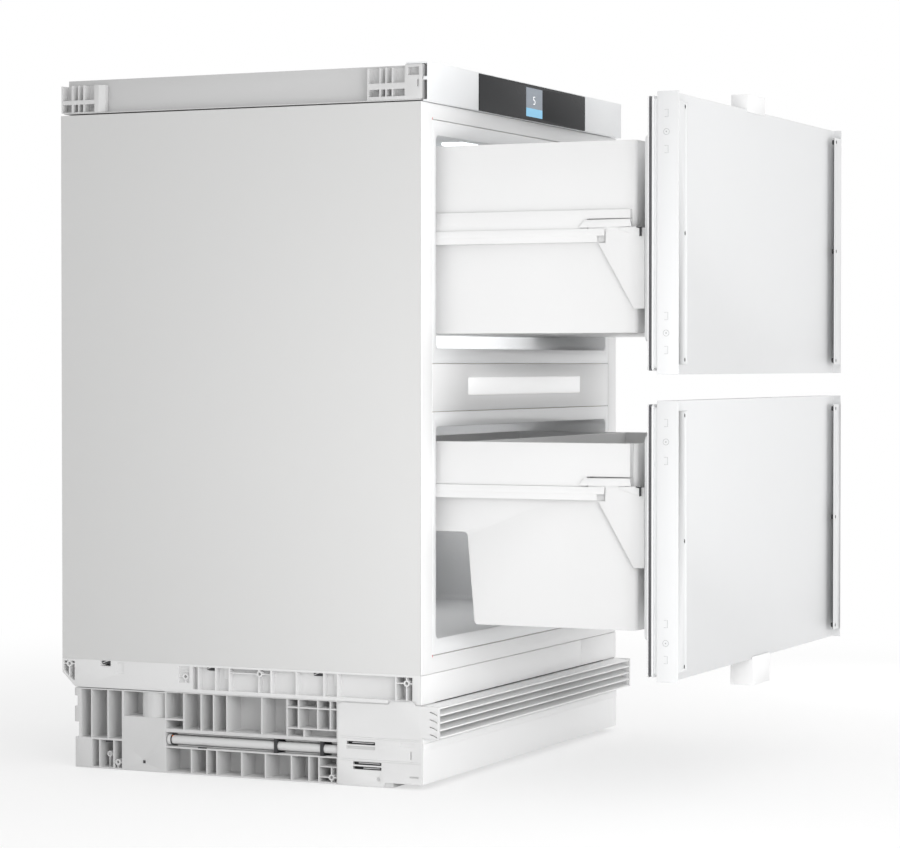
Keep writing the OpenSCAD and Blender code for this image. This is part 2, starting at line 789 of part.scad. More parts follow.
module base_tray() {
    edge = carrier_in - fit;
    rise = 24;
    seat() color(steel) difference() {
        union() {
            block([-edge, 20, 0], [edge, cab_d - 8, tray_t]);
            block([-edge, cab_d - 8 - tray_t, tray_t], [edge, cab_d - 8, rise]);
            block([-edge, 20, tray_t], [edge, 20 + tray_t, rise]);
        }
        for (x = [-120 : 40 : 120]) {
            block([x - 12, 60, -1], [x + 12, 66, tray_t + 1]);
        }
    }
}

// Blades that curve down to their front lips, carried by a rear web on the plinth line
module vent_grille() {
    edge = half_w - 5 - fit;
    pitch = (grille_h - blade_t)/(blades - 1);
    lip = 1.5;
    seat() color(white) {
        for (i = [0 : blades - 2]) {
            z = grille_z + i*pitch;
            side_slab([
                [-grille_out, z], [-grille_out + 8, z + 2.4], [-2, z + 6.2 - blade_t/2],
                [-2, z + 6.2], [-grille_out + 8, z + 4], [-grille_out, z + lip]
            ], -edge, edge);
        }
        side_slab([
            [-grille_out, grille_z + grille_h - blade_t - 0.2], [-2, grille_z + grille_h - blade_t],
            [-2, grille_z + grille_h], [-grille_out, grille_z + grille_h - blade_t + lip]
        ], -edge, edge);
        for (x = [-edge/2 - 1, -1, edge/2 - 1]) {
            block([x, -8, grille_z + 2], [x + 2, -2, grille_z + grille_h - 1]);
        }
        for (x = [-edge, edge - 1.4]) {
            side_slab([
                [-grille_out + 1.5, grille_z + 0.6], [-2, grille_z], [-2, grille_z + grille_h],
                [-grille_out + 1.5, grille_z + grille_h - blade_t]
            ], x, x + 1.4);
        }
        difference() {
            block([-edge, -2, grille_z], [edge, frame_t, grille_z + grille_h]);
            for (i = [0 : blades - 2], x = [-edge + 12 : 45 : edge - 50]) {
                low = grille_z + i*pitch + 6.2;
                block([x, -3, low],
                      [x + 38, frame_t + 1, min(low + pitch - blade_t/2, grille_z + grille_h - blade_t)]);
            }
        }
    }
}

module plinth_panel() {
    edge = carrier_out - fit;
    top = grille_z - 0.6;
    seat() color(white) {
        block([-edge, -1, plinth_gap], [edge, frame_t - fit, top]);
        block([-edge, -2.2, top - 14], [edge, -1, top - 6]);
        block([-carrier_in + 2, frame_t - fit, plinth_gap], [carrier_in - 2, 20, plinth_gap + 1.6]);
    }
}

// Spindle with a round pad and a hexagon for a spanner
module foot(left, y) {
    seat() color(black) hand(left) translate([foot_x, y, 0]) {
        cylinder(h = pad_t - 2, r = pad_r);
        cylinder(h = pad_t, r = pad_r - 3, $fn = 6);
        cylinder(h = spindle_h, r = foot_r);
    }
}

module front_foot_left() {
    foot(true, front_foot_y);
}

module front_foot_right() {
    foot(false, front_foot_y);
}

module rear_foot_left() {
    foot(true, rear_foot_y);
}

module rear_foot_right() {
    foot(false, rear_foot_y);
}

// Round rod with a hexagon socket in front and a collar at the gear
module adjusting_rod(left) {
    seat() color(steel) hand(left) difference() {
        union() {
            bar_y(rod_x, rod_y0, rod_end, rod_z, rod_r);
            bar_y(rod_x, rod_end - 4, rod_end, rod_z, rod_r + 1.2);
        }
        translate([rod_x, rod_y0 - 1, rod_z]) rotate([-90, 0, 0])
            cylinder(h = 9, r = rod_r*0.6, $fn = 6);
    }
}

module adjusting_rod_left() {
    adjusting_rod(true);
}

module adjusting_rod_right() {
    adjusting_rod(false);
}

module rod_clips() {
    seat() color(black) both_sides() {
        for (y = [128, 188]) {
            difference() {
                block([carrier_in + 14, y - 2, rod_z - 8], [rod_x + rod_r + 1.2, y + 2, rod_z + 9]);
                bar_y(rod_x, y - 3, y + 3, rod_z, rod_r + run);
            }
        }
    }
}

// ---- machine space

module compressor() {
    r = comp_r;
    z0 = tray_t + mount_h;
    seat() color(black) translate([comp_x, comp_y, z0]) {
        rotate_extrude() polygon([
            [0, 0], [r*0.72, 0], [r*0.92, 8], [r, 24], [r, comp_h*0.55], [r + 3, comp_h*0.55],
            [r + 3, comp_h*0.55 + 4], [r, comp_h*0.55 + 4], [r*0.97, comp_h*0.74],
            [r*0.80, comp_h*0.92], [r*0.45, comp_h], [0, comp_h]
        ]);
        for (a = [45 : 90 : 315]) {
            rotate([0, 0, a]) difference() {
                block([r*0.6, -9, 0], [r + 20, 9, 3]);
                translate([r + 10, 0, -1]) cylinder(h = 5, r = 4.5);
            }
        }
        block([-r - 14, -20, 50], [-r + 4, 20, 96]);
    }
}

module compressor_mounts() {
    r = comp_r;
    seat() color([0.15, 0.15, 0.15]) translate([comp_x, comp_y, tray_t]) {
        for (a = [45 : 90 : 315]) {
            rotate([0, 0, a]) translate([r + 10, 0, 0]) {
                cylinder(h = mount_h, r = 8);
                cylinder(h = mount_h + 5, r = 4);
            }
        }
    }
}

module condenser() {
    x0 = fan_x - fan_r - 14;
    x1 = fan_x + fan_r + 14;
    z0 = tray_t;
    z1 = fan_z + fan_r + 16;
    seat() color(steel) {
        for (x = [x0 : 8 : x1]) {
            block([x, cond_y0, z0], [x + 1, cond_y1, z1]);
        }
        for (z = [z0 + 16 : 26 : z1 - 10], y = [cond_y0 + 10, cond_y1 - 10]) {
            translate([x0 - 6, y, z]) rotate([0, 90, 0]) cylinder(h = x1 - x0 + 12, r = 4);
        }
    }
}

module fan_motor() {
    x0 = fan_x - fan_r - 12;
    x1 = fan_x + fan_r + 12;
    rear = fan_y + fan_t + 12;
    seat() color(black) {
        difference() {
            block([x0, cond_y1 + 1, tray_t], [x1, shroud_y + 2, fan_z + fan_r + 14]);
            bar_y(fan_x, cond_y1, shroud_y + 3, fan_z, fan_r + 3);
        }
        bar_y(fan_x, rear, rear + 26, fan_z, 22);
        bar_y(fan_x, fan_y - 2, rear + 1, fan_z, shaft_r);
        for (s = [-1, 1]) {
            block([fan_x + s*(fan_r + 9) - 2, shroud_y + 2, fan_z - 5],
                  [fan_x + s*(fan_r + 9) + 2, rear + 12, fan_z + 5]);
            block([min(fan_x + s*20, fan_x + s*(fan_r + 11)), rear + 12, fan_z - 5],
                  [max(fan_x + s*20, fan_x + s*(fan_r + 11)), rear + 15, fan_z + 5]);
        }
    }
}

// Hub with flat inclined blades, drawn around +Z and bored for the motor shaft
module fan_wheel(r, hub_r, length) {
    difference() {
        union() {
            cylinder(h = length, r = hub_r);
            for (i = [0 : fan_blades - 1]) {
                rotate([0, 0, i*360/fan_blades]) translate([0, 0, length/2]) rotate([32, 0, 0])
                    block([hub_r*0.8, -length*0.45, -0.7], [r - 1, length*0.45, 0.7]);
            }
        }
        translate([0, 0, -1]) cylinder(h = length + 2, r = shaft_r + run);
    }
}

module condenser_fan() {
    seat() color([0.2, 0.2, 0.22]) translate([fan_x, fan_y, fan_z]) rotate([-90, 0, 0])
        fan_wheel(fan_r, 17, fan_t);
}

module drip_tray() {
    z0 = tray_t + mount_h + comp_h;
    seat() color(black) difference() {
        block([comp_x - 75, comp_y - 55, z0], [comp_x + 75, comp_y + 70, z0 + 26]);
        block([comp_x - 73, comp_y - 53, z0 + 2], [comp_x + 73, comp_y + 68, z0 + 27]);
    }
}

// Control box with a recessed three-pin appliance inlet
module power_inlet() {
    x0 = carrier_in - 62.9;
    y1 = cab_d - 8 - tray_t;
    seat() color(black) difference() {
        block([x0, y1 - 60, tray_t], [x0 + 50, y1, 90]);
        block([x0 + 11, y1 - 16, 40], [x0 + 39, y1 + 1, 62]);
    }
}

module evaporator() {
    z0 = upper_floor + 20;
    seat() color(steel) {
        for (x = [-evap_half : 20 : evap_half]) {
            block([x - 0.5, evap_y0, z0], [x + 0.5, evap_y1, z0 + 100]);
        }
        for (z = [z0 + 14 : 24 : z0 + 90]) {
            translate([-evap_half - 12, (evap_y0 + evap_y1)/2, z]) rotate([0, 90, 0])
                cylinder(h = 2*evap_half + 24, r = 4);
        }
        block([-evap_half - 12, evap_y1, z0 + 4], [evap_half + 12, cavity_d, z0 + 7]);
    }
}

// Rear wall of the upper compartment, with air slots and the fan opening
module duct_cover() {
    edge = in_w - 3;
    seat() color(white) difference() {
        union() {
            front_slab(-edge, edge, upper_floor + 0.5, upper_ceiling - 0.5, liner_r, duct_y, duct_y + 2);
            for (s = [-1, 1]) {
                block([s*(edge - 6) - 2, duct_y + 2, upper_floor + 8],
                      [s*(edge - 6) + 2, cavity_d, upper_ceiling - 8]);
            }
        }
        for (a = [0 : 30 : 150]) {
            translate([0, 0, evap_fan_z]) rotate([0, a, 0])
                block([14, duct_y - 1, -2.5], [evap_fan_r, duct_y + 3, 2.5]);
            translate([0, 0, evap_fan_z]) rotate([0, a + 180, 0])
                block([14, duct_y - 1, -2.5], [evap_fan_r, duct_y + 3, 2.5]);
        }
        for (x = [-180 : 30 : 180]) {
            block([x - 9, duct_y - 1, upper_floor + 12], [x + 9, duct_y + 3, upper_floor + 17]);
        }
    }
}

module evaporator_motor() {
    seat() color(black) {
        bar_y(0, duct_y + 18, cavity_d, evap_fan_z, 16);
        bar_y(0, duct_y + 4, duct_y + 18.5, evap_fan_z, shaft_r);
    }
}

module evaporator_fan() {
    seat() color([0.85, 0.85, 0.87]) translate([0, duct_y + 5, evap_fan_z]) rotate([-90, 0, 0])
        fan_wheel(evap_fan_r, 12, 12);
}

// ---- rails

// Wall plate, foot and tongue on which the middle rail runs
module cabinet_rails() {
    seat() color(steel) both_sides() for (d = [upper, lower]) {
        top = d[4];
        block([in_w - plate_t, cab_rail_front, top - rail_foot - 8], [in_w, rail_rear, top - 2]);
        block([web_in, cab_rail_front, top - rail_foot - rail_t],
              [in_w - plate_t, rail_rear, top - rail_foot]);
        block([web_in, cab_rail_front, top - rail_foot],
              [web_in + web_w, rail_rear, top - 2*rail_t - 2*rail_gap]);
    }
}

// Inverted channel over the cabinet rail's tongue
module mid_rails(d) {
    top = d[4] - rail_t - rail_gap;
    low = d[4] - rail_h;
    y0 = rail_front + 2;
    drawn(0.5) color(steel) both_sides() {
        block([mid_in, y0, top - rail_t], [mid_out, rail_rear, top]);
        block([mid_in, y0, low], [mid_in + rail_t, rail_rear, top - rail_t]);
        block([mid_out - rail_t, y0, low], [mid_out, rail_rear, top - rail_t]);
    }
}

module upper_mid_rails() {
    mid_rails(upper);
}

module lower_mid_rails() {
    mid_rails(lower);
}

// Inverted channel under the container's ledge, with the bracket and hook that hold the door
module drawer_rails(d) {
    top = d[4];
    low = top - rail_h;
    edge = ledge_w;
    drawn() color(white) both_sides() {
        block([dr_in, rail_front, top - rail_t], [dr_out, rail_rear, top]);
        block([dr_in, rail_front, low], [dr_in + rail_t, rail_rear, top - rail_t]);
        block([dr_out - rail_t, rail_front, low + 7], [dr_out, rail_rear, top - rail_t]);
        block([dr_out - rail_t, rail_front + 9, low], [dr_out - 0.4, rail_rear, low + 7]);
        side_slab([
            [plug_in, low - 74], [plug_in + 12, low - 74], [rail_front + 8.4, low - 1],
            [rail_front, low - 0.8], [rail_front, top], [plug_in, top]
        ], edge - 1.6, edge);
        side_slab([
            [rail_front + 31, top + 1.2], [rail_front + 24, top + 9.6],
            [box_front + 4.6, top + 10], [box_front + 2.6, top + 1.6]
        ], edge + 0.6, dr_out);
        block([edge - 1.6, box_front + 10.6, top], [edge + 1, rail_front + 20, top + 1.4]);
        // Wedge that draws the bracket tight against the door
        side_slab([
            [plug_in + 4.5, top - 9.5], [plug_in + 29, top - 1.4], [plug_in + 29, top + 0.4],
            [plug_in + 4.5, top + 1.6]
        ], edge - 0.5, edge + 2.4);
        block([edge - 24, plug_in, low - 74], [edge, plug_in + 1.6, top]);
    }
}

module upper_drawer_rails() {
    drawer_rails(upper);
}

module lower_drawer_rails() {
    drawer_rails(lower);
}

// ---- drawers

module door_panel(d) {
    lo = d[0];
    hi = d[1];
    mid = (lo + hi)/2;
    drawn() color([0.88, 0.89, 0.90]) difference() {
        union() {
            block([-door_w, face_y, lo], [door_w, face_y + pan_t, hi]);
            difference() {
                block([-door_w, rim_y - pan_t, lo], [door_w, rim_y, hi]);
                block([-door_w + 12, rim_y - 2, lo + 12], [door_w - 12, rim_y + 1, hi - 12]);
            }
            block([-door_w, face_y + pan_t, lo], [door_w, rim_y, lo + pan_t]);
            block([-door_w, face_y + pan_t, hi - pan_t], [door_w, rim_y, hi]);
            both_sides() {
                block([door_w - pan_t, flange_y, lo], [door_w, rim_y, hi]);
                block([door_w - flange_w, flange_y, lo + flange_end],
                      [door_w - pan_t, flange_y + pan_t, hi - flange_end]);
            }
        }
        for (s = [-1, 1], z = [lo + hole_end, mid, hi - hole_end]) {
            bar_y(s*(door_w - hole_in), flange_y - 1, flange_y + pan_t + 1, z, hole_d/2);
        }
    }
}

module upper_door_panel() {
    door_panel(upper);
}

module lower_door_panel() {
    door_panel(lower);
}

// Outline of the plug that reaches into the opening, shrunk by an inset
module plug(d, inset, y0, y1) {
    front_slab(-in_w + plug_gap + inset, in_w - plug_gap - inset, d[2] + plug_gap + inset,
               d[3] - plug_gap - inset, liner_r, y0, y1);
}

module door_liner(d) {
    w = door_w - 4;
    y_flange = -gasket_t - fit - liner_flange_t;
    drawn() color(white) difference() {
        union() {
            front_slab(-w, w, d[0] + 4, d[1] - 4, 3, y_flange, -gasket_t - fit);
            front_slab(-w + 3, w - 3, d[0] + 7, d[1] - 7, 3, rim_y, y_flange);
            plug(d, 0, -gasket_t - fit, plug_in);
        }
        plug(d, 2, rim_y - 1, plug_in - 2);
    }
}

module upper_door_liner() {
    door_liner(upper);
}

module lower_door_liner() {
    door_liner(lower);
}

module door_foam(d) {
    w = door_w - pan_t - 0.4;
    drawn() color([0.93, 0.88, 0.72]) {
        block([-w, face_y + pan_t, d[0] + pan_t + 0.4], [w, rim_y - pan_t - 0.2, d[1] - pan_t - 0.4]);
        block([-door_w + 12.4, rim_y - pan_t - 0.3, d[0] + 12.4], [door_w - 12.4, rim_y, d[1] - 12.4]);
        plug(d, 2.2, rim_y - 0.1, plug_in - 2.2);
    }
}

module upper_door_foam() {
    door_foam(upper);
}

module lower_door_foam() {
    door_foam(lower);
}

// Foot, bellows and magnet head of the door seal
module gasket(d) {
    w = door_w - 4;
    drawn() color([0.9, 0.9, 0.9]) difference() {
        union() {
            front_slab(-w + 1, w - 1, d[0] + 5, d[1] - 5, 3, -gasket_t - fit, -gasket_t + 0.5);
            front_slab(-w + 5, w - 5, d[0] + 9, d[1] - 9, 3, -gasket_t + 0.5, -fit - 1.7);
            front_slab(-w, w, d[0] + 4, d[1] - 4, 3, -fit - 1.7, -fit);
        }
        front_slab(-w + 22, w - 22, d[0] + 26, d[1] - 26, 3, -gasket_t - 1, 1);
    }
}

module upper_gasket() {
    gasket(upper);
}

module lower_gasket() {
    gasket(lower);
}

// Hanging block at the door's middle: x offset, end of the door, outer end, and rear face
module front_block(x, edge_z, out_z, rear) {
    z0 = min(edge_z, out_z);
    z1 = max(edge_z, out_z);
    lip = out_z > edge_z ? [edge_z - 2.7, z1] : [z0, edge_z + 2.7];
    drawn() color(white) {
        block([x - hang_w/2, face_y, z0], [x + hang_w/2, rear, z1]);
        block([x - hang_w/2, face_y - 2.2, lip[0]], [x + hang_w/2, face_y, lip[1]]);
    }
}

module upper_front_block() {
    front_block(-11, body_top, body_top + 18, -console_out - 2*fit);
}

module lower_front_block() {
    front_block(11, lower_door_z, lower_door_z - 31, -1);
}

// Upright prism with round corners in plan, shrunk by an inset
module tub(half, inset, z0, z1) {
    translate([0, 0, z0]) linear_extrude(z1 - z0) {
        round_rect(-half + inset, half - inset, box_front + inset, box_rear - inset, box_r - inset);
    }
}

// Container with a ledge that rests on the rails, and a wider part above it
module upper_container() {
    floor_z = upper_floor + floor_clear;
    rail_z = upper[4];
    rim = upper[5];
    drawn() color(white) difference() {
        union() {
            tub(body_half, 0, floor_z, rail_z + 1);
            tub(neck_w, 0, rail_z, rim);
            ledges(neck_w, rail_z, 21);
        }
        tub(body_half, box_t, floor_z + box_t, rim + 1);
        tub(neck_w, box_t, rail_z + box_t, rim + 1);
    }
}

// Points of a round corner at p on the way from a to b, in five chords
function corner(a, p, b, r) =
    let (u = (a - p)/norm(a - p), v = (b - p)/norm(b - p), half = acos(u*v)/2,
         m = p + (u + v)/norm(u + v)*r/sin(half), d = p + u*r/tan(half) - m,
         turn = -sign(u[0]*v[1] - u[1]*v[0])*(180 - 2*half))
    [for (i = [0 : 5]) m + [d[0]*cos(i*turn/5) - d[1]*sin(i*turn/5),
                            d[0]*sin(i*turn/5) + d[1]*cos(i*turn/5)]];

module ledges(wall, z, h) {
    both_sides() {
        block([wall - 1, rail_front + 22, z], [ledge_w, box_rear - box_r, z + h]);
        block([wall - 1, box_front + box_r, z + 11], [ledge_w, rail_front + 22, z + h]);
    }
}

module lower_container() {
    floor_z = lower_floor + floor_clear;
    rail_z = lower[4];
    rim = lower[5];
    step_z = hump_top + 5;
    foot_rear = deep_rear - 9;
    drawn() color(white) difference() {
        union() {
            intersection() {
                tub(body_half, 0, floor_z, rim);
                side_slab(concat(
                    [[0, floor_z]],
                    corner([0, floor_z], [foot_rear, floor_z], [deep_rear, step_z], box_r),
                    corner([foot_rear, floor_z], [deep_rear, step_z], [box_rear, step_z], box_r),
                    [[box_rear + 1, step_z], [box_rear + 1, rim], [0, rim]]
                ), -body_half - 1, body_half + 1);
            }
            ledges(body_half, rail_z, rim - rail_z);
        }
        intersection() {
            tub(body_half, box_t, floor_z + box_t, rim + 1);
            side_slab([
                [0, floor_z], [foot_rear - box_t, floor_z], [deep_rear - box_t, step_z],
                [deep_rear - box_t, rim + 1], [0, rim + 1]
            ], -body_half, body_half);
        }
        intersection() {
            tub(body_half, box_t, step_z + box_t, rim + 1);
            block([-body_half, deep_rear, step_z], [body_half, box_rear, rim + 1]);
        }
    }
}

side_panel_left();
side_panel_right();
rear_and_roof();
machine_cover();
floor_pan();
top_cover();
front_frame();
upper_liner();
lower_liner();
insulation();
mid_rail_cover();
light_bar();
ceiling_light();
console();
control_glass();
display();
top_brackets();
base_bands();
fascia_strip();
base_carrier_left();
base_carrier_right();
cheeks();
base_tray();
vent_grille();
plinth_panel();
compressor();
compressor_mounts();
condenser();
fan_motor();
condenser_fan();
drip_tray();
power_inlet();
evaporator();
duct_cover();
evaporator_motor();
evaporator_fan();
cabinet_rails();
rod_clips();
adjusting_rod_left();
adjusting_rod_right();
front_foot_left();
front_foot_right();
rear_foot_left();
rear_foot_right();
upper_mid_rails();
lower_mid_rails();
upper_door_panel();
upper_door_liner();
upper_door_foam();
upper_gasket();
upper_front_block();
upper_container();
upper_drawer_rails();
lower_door_panel();
lower_door_liner();
lower_door_foam();
lower_gasket();
lower_front_block();
lower_container();
lower_drawer_rails();
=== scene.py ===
# %% [markdown]
# # An undercounter refrigerator with two drawers
#
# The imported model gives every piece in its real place. This script dresses it: each visible
# surface gets a finish of its own, fine moulded and pressed details are added as meshes worked
# out with numpy, and a plain studio with a camera is set up at the end.

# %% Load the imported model
import bmesh
import bpy
import json
import math
import numpy as np
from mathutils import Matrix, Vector


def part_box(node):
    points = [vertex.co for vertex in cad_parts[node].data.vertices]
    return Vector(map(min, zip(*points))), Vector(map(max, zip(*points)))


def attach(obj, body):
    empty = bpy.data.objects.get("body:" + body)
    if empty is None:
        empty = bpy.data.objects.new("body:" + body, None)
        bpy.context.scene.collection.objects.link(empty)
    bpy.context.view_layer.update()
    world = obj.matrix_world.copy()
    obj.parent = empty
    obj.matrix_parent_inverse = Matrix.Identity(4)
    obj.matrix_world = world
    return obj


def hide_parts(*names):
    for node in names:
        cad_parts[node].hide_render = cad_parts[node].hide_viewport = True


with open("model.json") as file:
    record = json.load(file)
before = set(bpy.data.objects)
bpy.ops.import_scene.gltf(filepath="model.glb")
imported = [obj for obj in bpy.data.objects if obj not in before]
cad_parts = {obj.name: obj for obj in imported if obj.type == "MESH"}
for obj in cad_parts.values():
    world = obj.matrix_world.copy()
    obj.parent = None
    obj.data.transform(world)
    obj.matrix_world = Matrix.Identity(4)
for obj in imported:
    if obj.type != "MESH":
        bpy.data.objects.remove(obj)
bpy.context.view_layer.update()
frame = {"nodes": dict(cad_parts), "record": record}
nodes = frame["nodes"]

# %% [markdown]
# ## The measures that the finishes and details share
#
# Everything is in metres in the model's own frame: the origin lies on the floor under the middle
# of the cabinet, and the drawers come out towards -Y. Two lengths are used again and again: where
# the cabinet's front face lies on Y, and how far the drawers stand open. Small fittings are
# easier to read in millimetres, so MM turns those into metres.

# %% Shared measures
FRONT = -0.2375
OUT = 0.268
MM = 0.001
BOTH_SIDES = (-1.0, 1.0)
print("front face at", FRONT, "open by", OUT)

# %% [markdown]
# ## Shader maths as Python expressions
#
# A procedural finish is mostly arithmetic on noise. Wiring Math nodes by hand hides that
# arithmetic, so one small class wraps a socket and turns the usual operators into nodes. The
# reflected forms let an expression start with a number, as in 1 - mask.

# %% A socket that can be added, multiplied and mixed
class Wave:
    def __init__(self, tree, socket):
        self.tree, self.socket = tree, socket

    def node(self, kind, settings=None, inputs=None, out=0):
        """Adds any node: its type, its settings, and values or links for its sockets."""
        made = self.tree.nodes.new(kind)
        for key, value in (settings or {}).items():
            setattr(made, key, value)
        for key, value in (inputs or {}).items():
            target = made.inputs[key]
            if isinstance(value, Wave):
                self.tree.links.new(value.socket, target)
            else:
                target.default_value = value
        return Wave(self.tree, made.outputs[out])

    def math(self, operation, *others):
        """A Math node with this wave as its first value."""
        return self.node("ShaderNodeMath", {"operation": operation},
                         dict(enumerate((self, *others))))

    def __add__(self, other): return self.math("ADD", other)
    def __radd__(self, other): return self.math("ADD", other)
    def __sub__(self, other): return self.math("SUBTRACT", other)
    def __rsub__(self, other): return self.math("MULTIPLY_ADD", -1.0, other)
    def __mul__(self, other): return self.math("MULTIPLY", other)
    def __rmul__(self, other): return self.math("MULTIPLY", other)
    def above(self, edge): return self.math("GREATER_THAN", edge)
    def below(self, edge): return self.math("LESS_THAN", edge)
    def clamp(self): return self.node("ShaderNodeClamp", {}, {"Value": self})

    def ramp(self, low, high):
        """0 below low, 1 above high, and smooth between."""
        return self.node("ShaderNodeMapRange", {"interpolation_type": "SMOOTHSTEP"},
                         {"Value": self, "From Min": low, "From Max": high})

    def blend(self, first, second):
        """Mixes two colours, with this wave as the factor."""
        return self.node("ShaderNodeMix", {"data_type": "RGBA"},
                         {0: self, 6: first, 7: second}, out=2)


class Finish:
    """One material: its Principled shader, and the object's own coordinates as waves."""

    def __init__(self, name, colour, roughness=0.5, metallic=0.0, coat=0.0, **constants):
        self.material = bpy.data.materials.new(name)
        self.material.use_nodes = True
        self.tree = self.material.node_tree
        self.shader = self.tree.nodes["Principled BSDF"]
        self.set("Base Color", (*colour, 1.0))
        self.set("Roughness", roughness)
        self.set("Metallic", metallic)
        self.set("Coat Weight", coat)
        for key, value in constants.items():
            self.set(key.replace("_", " "), value)
        self.start = Wave(self.tree, None)
        self.place = self.start.node("ShaderNodeTexCoord", out=3)
        self.colour = colour

    def set(self, socket, value):
        """Puts a plain value or a wave on one socket of the shader."""
        target = self.shader.inputs[socket]
        if isinstance(value, Wave):
            self.tree.links.new(value.socket, target)
        else:
            target.default_value = value

    def axes(self):
        """The object's own X, Y and Z as three waves."""
        parts = self.start.node("ShaderNodeSeparateXYZ", {}, {0: self.place})
        outs = parts.socket.node.outputs
        return [Wave(self.tree, outs[i]) for i in range(3)]

    def noise(self, scale, detail=3.0, stretch=(1, 1, 1)):
        """Noise from 0 to 1 whose grain is about 1/scale metres, stretched along the axes."""
        place = self.start.node("ShaderNodeMapping", {}, {0: self.place, 3: stretch})
        return self.start.node("ShaderNodeTexNoise", {},
                               {"Vector": place, "Scale": scale, "Detail": detail})

    def bump(self, height, distance, strength=1.0):
        """Lifts the surface by height times distance metres."""
        self.set("Normal", self.start.node("ShaderNodeBump", {},
                 {"Strength": strength, "Distance": distance, "Height": height}))

    def tint(self, wave, dark, light):
        """Base colour from the finish's colour times dark to the colour times light."""
        low = tuple(c * dark for c in self.colour) + (1.0,)
        high = tuple(min(1.0, c * light) for c in self.colour) + (1.0,)
        self.set("Base Color", wave.blend(low, high))


print("shader maths ready")

# %% [markdown]
# ## The finishes
#
# The real object is nearly all pale: powder coated steel, injection moulded plastic with a fine
# spark texture, and glossy vacuum formed liners. What tells them apart is their grain and gloss.
# So each finish is one colour with a slow tone variation, a fine bump at the scale of the real
# texture, and a roughness that wanders a little, as moulded and handled surfaces do.

# %% Plastics and coated steels
def moulded(name, colour, roughness, grain, depth, coat=0.0, drift=0.012):
    """Plastic or powder coat: slow tone drift, fine grain in the bump, wandering roughness."""
    made = Finish(name, colour, roughness, coat=coat)
    wander = 0.04
    slow = made.noise(2.5, 1.0)
    fine = made.noise(grain, 2.0)
    made.tint(slow, 1.0 - drift, 1.0 + drift)
    made.set("Roughness", roughness - wander + 2.0 * wander * made.noise(30.0, 2.0))
    made.bump(fine, depth)
    return made


finishes = {
    "panel_steel": moulded("coated_panel", (0.67, 0.67, 0.665), 0.42, 900.0, 0.00003),
    "cover_plastic": moulded("cover_plastic", (0.60, 0.60, 0.60), 0.5, 1200.0, 0.00004),
    "white_plastic": moulded("white_plastic", (0.90, 0.90, 0.90), 0.4, 1200.0, 0.00003),
    "liner_plastic": moulded("liner_plastic", (0.88, 0.885, 0.89), 0.3, 500.0, 0.00002, 0.2),
    "console_plastic": moulded("console_plastic", (0.88, 0.89, 0.90), 0.35, 900.0, 0.00002, 0.1),
    "rib_plastic": moulded("rib_plastic", (0.64, 0.64, 0.64), 0.5, 1400.0, 0.00004),
    "band_plastic": moulded("band_plastic", (0.75, 0.75, 0.75), 0.5, 1400.0, 0.00004),
    "door_steel": moulded("door_steel", (0.745, 0.75, 0.755), 0.4, 900.0, 0.00002),
    "container_plastic": moulded("container_plastic", (0.80, 0.80, 0.80), 0.3, 600.0, 0.00002, 0.2),
    "white_steel": moulded("white_steel", (0.80, 0.80, 0.80), 0.35, 900.0, 0.00002),
    "black_plastic": moulded("black_plastic", (0.03, 0.03, 0.033), 0.45, 1200.0, 0.00004),
    "black_steel": moulded("black_steel", (0.02, 0.02, 0.022), 0.3, 500.0, 0.00003, 0.3),
}
print("finishes", sorted(finishes))

# %% [markdown]
# ## Rubber, metals and glass
#
# The gasket is white at its lips and dark grey in its creases, where the dark is painted shade, so
# its colour is chosen by depth. Zinc shows its crystals, which are Voronoi cells of slightly
# different tone and gloss. Aluminium and the drawn rods have noise stretched along the way they
# were worked. The console's glass is nearly black and shows little of the room.

# %% Rubber, foam, zinc, aluminium and glass
# EDGE_GREY is the lips' own colour; the dark grey of the creases is painted shade.
EDGE_GREY, FOLD_SHADE_GREY = (0.80, 0.80, 0.80), (0.20, 0.20, 0.21)
gasket = moulded("gasket_rubber", EDGE_GREY, 0.6, 1500.0, 0.00003)
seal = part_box("upper_gasket")
depth = gasket.axes()[1]
# Painted shade: dark grey between the lips, in the creases of the gasket.
fold_shade = depth.above(seal[0][1] + 1.2*MM) * depth.below(seal[1][1] - 1.6*MM)
gasket.set("Base Color", fold_shade.blend((*EDGE_GREY, 1.0), (*FOLD_SHADE_GREY, 1.0)))
black_rubber = moulded("black_rubber", (0.03, 0.03, 0.03), 0.7, 1200.0, 0.00005)
foam = moulded("foam", (0.80, 0.70, 0.45), 0.9, 700.0, 0.0004, drift=0.08)
fan_plastic = moulded("fan_plastic", (0.6, 0.6, 0.62), 0.45, 900.0, 0.00003)

zinc = Finish("zinc_steel", (0.62, 0.63, 0.64), 0.35, metallic=0.9)
flakes = zinc.start.node("ShaderNodeTexVoronoi", {}, {"Vector": zinc.place, "Scale": 160.0}, out=1)
spark = zinc.start.node("ShaderNodeRGBToBW", {}, {0: flakes})
zinc.tint(spark, 0.82, 1.08)
zinc.set("Roughness", 0.28 + 0.14 * spark)
zinc.bump(zinc.noise(500.0), 0.00003)

aluminium = Finish("aluminium", (0.72, 0.73, 0.74), 0.3, metallic=1.0)
brush = aluminium.noise(220.0, 4.0, (1.0, 0.05, 1.0))
aluminium.tint(brush, 0.88, 1.05)
aluminium.set("Roughness", 0.22 + 0.2 * brush)
aluminium.bump(brush, 0.00003)

rod_steel = Finish("rod_steel", (0.70, 0.70, 0.70), 0.65)
drawn = rod_steel.noise(150.0, 3.0, (1.0, 0.04, 1.0))
rod_steel.tint(drawn, 0.94, 1.04)
rod_steel.set("Roughness", 0.5 + 0.15 * drawn)
rod_steel.bump(drawn, 0.00002)

glass = Finish("console_glass", (0.022, 0.023, 0.025), 0.2, Specular_IOR_Level=0.06)
glass.tint(glass.noise(18.0, 2.0), 0.94, 1.06)
glass.bump(glass.noise(60.0, 1.0), 0.00001)

